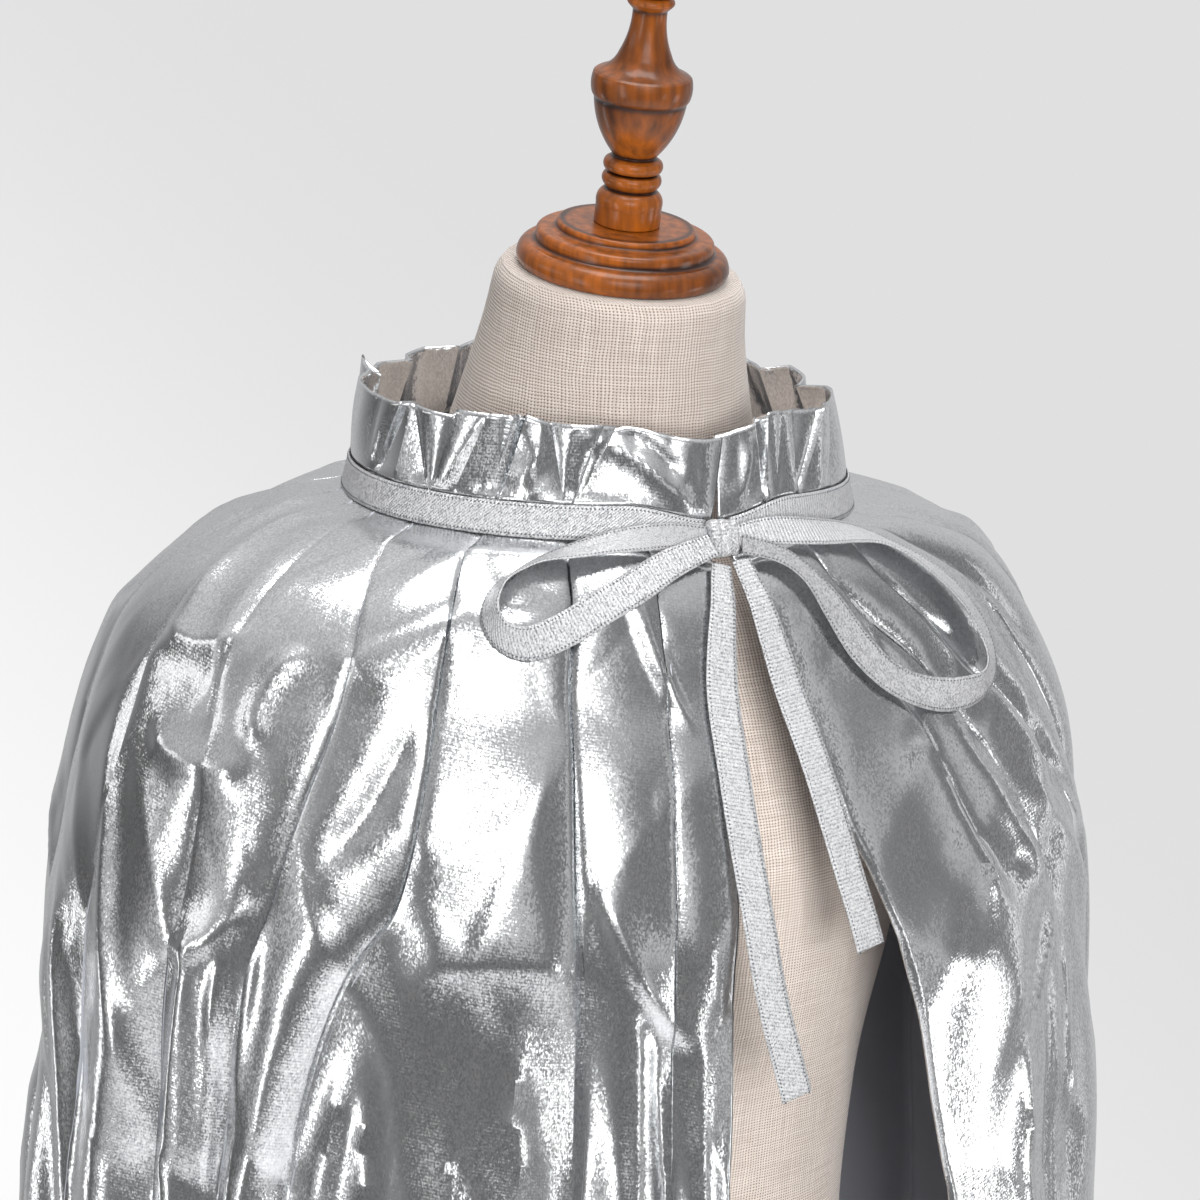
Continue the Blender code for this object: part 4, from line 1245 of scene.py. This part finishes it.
def bow_rest(x, height):
    """Points of the front that a ribbon rests on, at places across and heights, and the way out."""
    high = np.zeros_like(x)
    low = np.full_like(x, len(BOW_LEVELS) - 1.0)
    for _ in range(40):
        middle = (high + low) / 2
        level = through(BOW_LEVELS, middle)
        angle = np.arcsin(x / level[:, 1])
        too_high = ring_point(level, angle)[:, 2] > height
        high = np.where(too_high, middle, high)
        low = np.where(too_high, low, middle)
    return outside(BOW_LEVELS, middle, angle)[:2]


def ribbon_rows(route):
    """Rows across a ribbon along its route on the front of the cape."""
    places = np.linspace(0, len(route) - 1, (len(route) - 1) * STRETCH_STEPS + 1)
    stretch = through(route, places)
    point, out = bow_rest(stretch[:, 0] / 1000, stretch[:, 1] / 1000)
    point = point + out * stretch[:, 2:3] / 1000
    along = np.gradient(point, axis=0)
    flat = unit(np.cross(out, along))
    roll = np.radians(stretch[:, 4:5])
    half = (flat * np.cos(roll) + out * np.sin(roll)) * stretch[:, 3:4] / 2000
    share = np.linspace(1, -1, RIBBON_ROWS)[:, None, None]
    return point + share * half


BOW_PIECES = (
    ("lurex_loop_right", "bow_loop_right", BOW_LOOP_RIGHT, (0.015, 0.25), "folded"),
    ("lurex_loop_left", "bow_loop_left", BOW_LOOP_LEFT, (0.015, 0.34), "folded"),
    ("lurex_tail_right", "ribbon_tail_right", RIBBON_TAIL_RIGHT, (0.015, 0.23), "hung"),
    ("lurex_tail_left", "ribbon_tail_left", RIBBON_TAIL_LEFT, (0.015, 0.17), "hung"),
)
for name, node, route, flat, held in BOW_PIECES:
    ribbon_piece(name, ribbon_rows(route), node, 0)

knot_across = through(KNOT_FOLDS, np.linspace(0, len(KNOT_FOLDS) - 1, KNOT_COLUMNS), tight=True)
knot_round = np.linspace(0, math.tau, KNOT_RING, endpoint=False)
knot_sides = np.stack([np.sin(knot_round), -np.cos(knot_round)], axis=-1)
knot_sides = np.sign(knot_sides) * np.abs(knot_sides) ** KNOT_SQUARE
knot_points = np.empty((KNOT_COLUMNS, KNOT_RING, 3))
knot_points[..., 0] = knot_across[:, 0:1] * KNOT_WIDTH / 2
knot_points[..., 1] = knot_across[:, 1:2] * knot_sides[:, 1] * KNOT_DEPTH / 2
knot_points[..., 2] = knot_across[:, 2:3] * knot_sides[:, 0] * KNOT_HEIGHT / 2
knot_length = lengths(knot_points, 1, closed=True)
knot_width = np.repeat(knot_points[:, :1, 0], KNOT_RING + 1, axis=1)
knot_mesh = grid_mesh(
    "lurex_knot", knot_points, np.stack([knot_length, knot_width], axis=-1), closed=True
)
knot_form = bmesh.new()
knot_form.from_mesh(knot_mesh)
knot_form.verts.ensure_lookup_table()
knot_last = len(knot_form.verts) - KNOT_RING
knot_form.faces.new([knot_form.verts[place] for place in range(KNOT_RING)])
knot_form.faces.new([knot_form.verts[knot_last + place] for place in range(KNOT_RING)])
bmesh.ops.recalc_face_normals(knot_form, faces=knot_form.faces[:])
knot_form.to_mesh(knot_mesh)
knot_form.free()
knot_level = through(CAPE_LEVELS, np.array([KNOT_LEVEL]))
knot_angle = np.arcsin(KNOT_X / knot_level[:, 1])
knot_point, knot_out, _ = outside(CAPE_LEVELS, np.array([KNOT_LEVEL]), knot_angle)
knot_lift = RIBBON_GAP + RIBBON_THICK + SEAM_GAP + KNOT_DEPTH / 2
knot_turn = Matrix.Rotation(-math.atan2(knot_out[0, 2], -knot_out[0, 1]), 4, "X")
knot_mesh.transform(Matrix.Translation(knot_point[0] + knot_out[0] * knot_lift) @ knot_turn)
knot_mesh.shade_smooth()
knot_mesh.materials.append(ribbon_cloth)
knot = placed("lurex_knot", knot_mesh)
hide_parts("bow_knot")
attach(knot, "root")

# Studio: a pale floor that fades into a pale backdrop. Soft boxes, dim washes and a room of greys make
# the shapes that the foil mirrors. Three fills that no mirror shows light the linen, wood and ribbon.
CAMERA_AZIMUTH = -30
CAMERA_ELEVATION = 10
CAMERA_DISTANCE = 2.2
CAMERA_TARGET = Vector((0, 0, 1.344))
CAMERA_LENS = 147.2
FLOOR_RADIUS = 3.4
BACKDROP = "#e0e0e1"
BACKDROP_LIT = "#fdfdfd"
FLOOR_PALE = "#dededf"
CEILING_TONE = (0.62, 0.62, 0.625, 1)
ROOM_TONES = (
    (-180, 0.46),
    (-155, 0.24),
    (-132, 0.09),
    (-112, 0.16),
    (-96, 0.32),
    (-76, 0.24),
    (-54, 0.17),
    (-30, 0.14),
    (0, 0.16),
    (30, 0.20),
    (46, 0.22),
    (60, 0.19),
    (76, 0.23),
    (90, 0.26),
    (104, 0.44),
    (122, 0.52),
    (136, 0.56),
    (158, 0.50),
    (180, 0.46),
)
# Soft boxes that face the cape's neck, each as bright to look at as its radiance.
SoftBox = namedtuple("SoftBox", "name azimuth elevation distance width height radiance mirrored")
SOFT_BOXES = (
    SoftBox("Key light", -22, 20.5, 2.6, 1.4, 0.72, 2.6, True),
    SoftBox("Key wash", -20, 17, 2.7, 2.5, 1.8, 0.40, True),
    SoftBox("Left wash", -80, 0, 2.7, 1.3, 2.2, 0.18, True),
    SoftBox("Right wash", 40, 6, 2.7, 0.6, 2.0, 0.30, True),
    SoftBox("Side light", -112, 19, 2.6, 1.4, 0.6, 1.0, True),
    SoftBox("Left strip", -74, -5, 2.6, 0.5, 1.6, 2.2, True),
    SoftBox("Left low strip", -140, -20, 2.6, 0.35, 0.8, 2.0, True),
    SoftBox("Centre low strip", 24, -17, 2.6, 0.25, 0.8, 2.4, True),
    SoftBox("Right low panel", 60, -19, 2.6, 0.62, 0.8, 2.2, True),
    SoftBox("Right strip", 88, -4, 2.6, 0.16, 1.4, 1.3, True),
    SoftBox("Top light", -12, 78, 2.2, 1.5, 1.5, 4.0, True),
    SoftBox("Key fill", -22, 24, 2.6, 1.35, 0.68, 3.6, False),
    SoftBox("Low fill", -16, 4, 2.6, 0.8, 0.8, 28.0, False),
    SoftBox("Back fill", 150, 48, 2.4, 1.0, 1.0, 14.0, False),
)


def direction(azimuth, elevation):
    """The way from the object at an azimuth round from the front and an elevation."""
    turn = math.radians(azimuth)
    rise = math.radians(elevation)
    return Vector(
        (math.sin(turn) * math.cos(rise), -math.cos(turn) * math.cos(rise), math.sin(rise))
    )


for box in SOFT_BOXES:
    way = direction(box.azimuth, box.elevation)
    data = bpy.data.lights.new(box.name, "AREA")
    data.shape = "RECTANGLE"
    data.size = box.width
    data.size_y = box.height
    data.energy = box.radiance * math.pi * box.width * box.height
    light = placed(box.name, data)
    light.location = CAMERA_TARGET + way * box.distance
    light.rotation_mode = "QUATERNION"
    light.rotation_quaternion = way.to_track_quat("Z", "Y")
    light.visible_camera = False
    light.visible_glossy = box.mirrored

world = bpy.data.worlds.new("Studio")
bpy.context.scene.world = world
world.use_nodes = True
tree = world.node_tree
tree.nodes.clear()
way = add_node(tree, "ShaderNodeTexCoord").outputs["Generated"]
axes = add_node(tree, "ShaderNodeSeparateXYZ", {"Vector": way}).outputs
bearing = worked(tree, "ARCTAN2", axes["X"], worked(tree, "MULTIPLY", axes["Y"], -1.0))
round_room = mapped(tree, bearing, -math.pi, math.pi)
walls = add_node(tree, "ShaderNodeValToRGB", {"Fac": round_room})
tones = walls.color_ramp
for number, (azimuth, grey) in enumerate(ROOM_TONES):
    place = (azimuth + 180) / 360
    stop = tones.elements[number] if number < 2 else tones.elements.new(place)
    stop.position = place
    stop.color = (grey, grey, grey * 1.01, 1)
height = mapped(tree, axes["Z"], 0.28, 0.95, interpolation_type="SMOOTHSTEP")
room = mixed(tree, height, walls.outputs["Color"], CEILING_TONE)
leftwards = direction(CAMERA_AZIMUTH - 90, 0) * 0.66 - Vector((0, 0, 0.75))
aside = add_node(tree, "ShaderNodeVectorMath", {0: way, 1: tuple(leftwards)}, operation="DOT_PRODUCT")
wash = mapped(tree, aside.outputs["Value"], 0.08, 0.30, interpolation_type="SMOOTHSTEP")
backdrop = mixed(tree, wash, linear(BACKDROP), linear(BACKDROP_LIT))
seen = add_node(tree, "ShaderNodeLightPath").outputs["Is Camera Ray"]
colour = mixed(tree, seen, room, backdrop)
shine = add_node(tree, "ShaderNodeBackground", {"Color": colour})
add_node(tree, "ShaderNodeOutputWorld", {"Surface": shine.outputs["Background"]})

floor_form = bmesh.new()
bmesh.ops.create_circle(floor_form, cap_ends=True, radius=FLOOR_RADIUS, segments=96)
floor_mesh = bpy.data.meshes.new("Floor")
floor_form.to_mesh(floor_mesh)
floor_form.free()
floor_material, tree, shader = new_material("Pale studio floor")
spot = add_node(tree, "ShaderNodeTexCoord").outputs["Object"]
reach = add_node(tree, "ShaderNodeVectorMath", {0: spot}, operation="LENGTH").outputs["Value"]
fade = mapped(tree, reach, 0.6, FLOOR_RADIUS, 1.0, 0.0, interpolation_type="SMOOTHSTEP")
feed(tree, shader, {"Base Color": linear(FLOOR_PALE), "Roughness": 0.8, "Alpha": fade})
floor_mesh.materials.append(floor_material)
placed("Floor", floor_mesh)

camera_data = bpy.data.cameras.new("Camera")
camera_data.lens = CAMERA_LENS
camera_data.sensor_width = 36
camera = placed("Camera", camera_data)
backwards = direction(CAMERA_AZIMUTH, CAMERA_ELEVATION)
camera.location = CAMERA_TARGET + backwards * CAMERA_DISTANCE
camera.rotation_mode = "QUATERNION"
camera.rotation_quaternion = backwards.to_track_quat("Z", "Y")
bpy.context.scene.camera = camera
bpy.context.scene.view_settings.view_transform = "Standard"
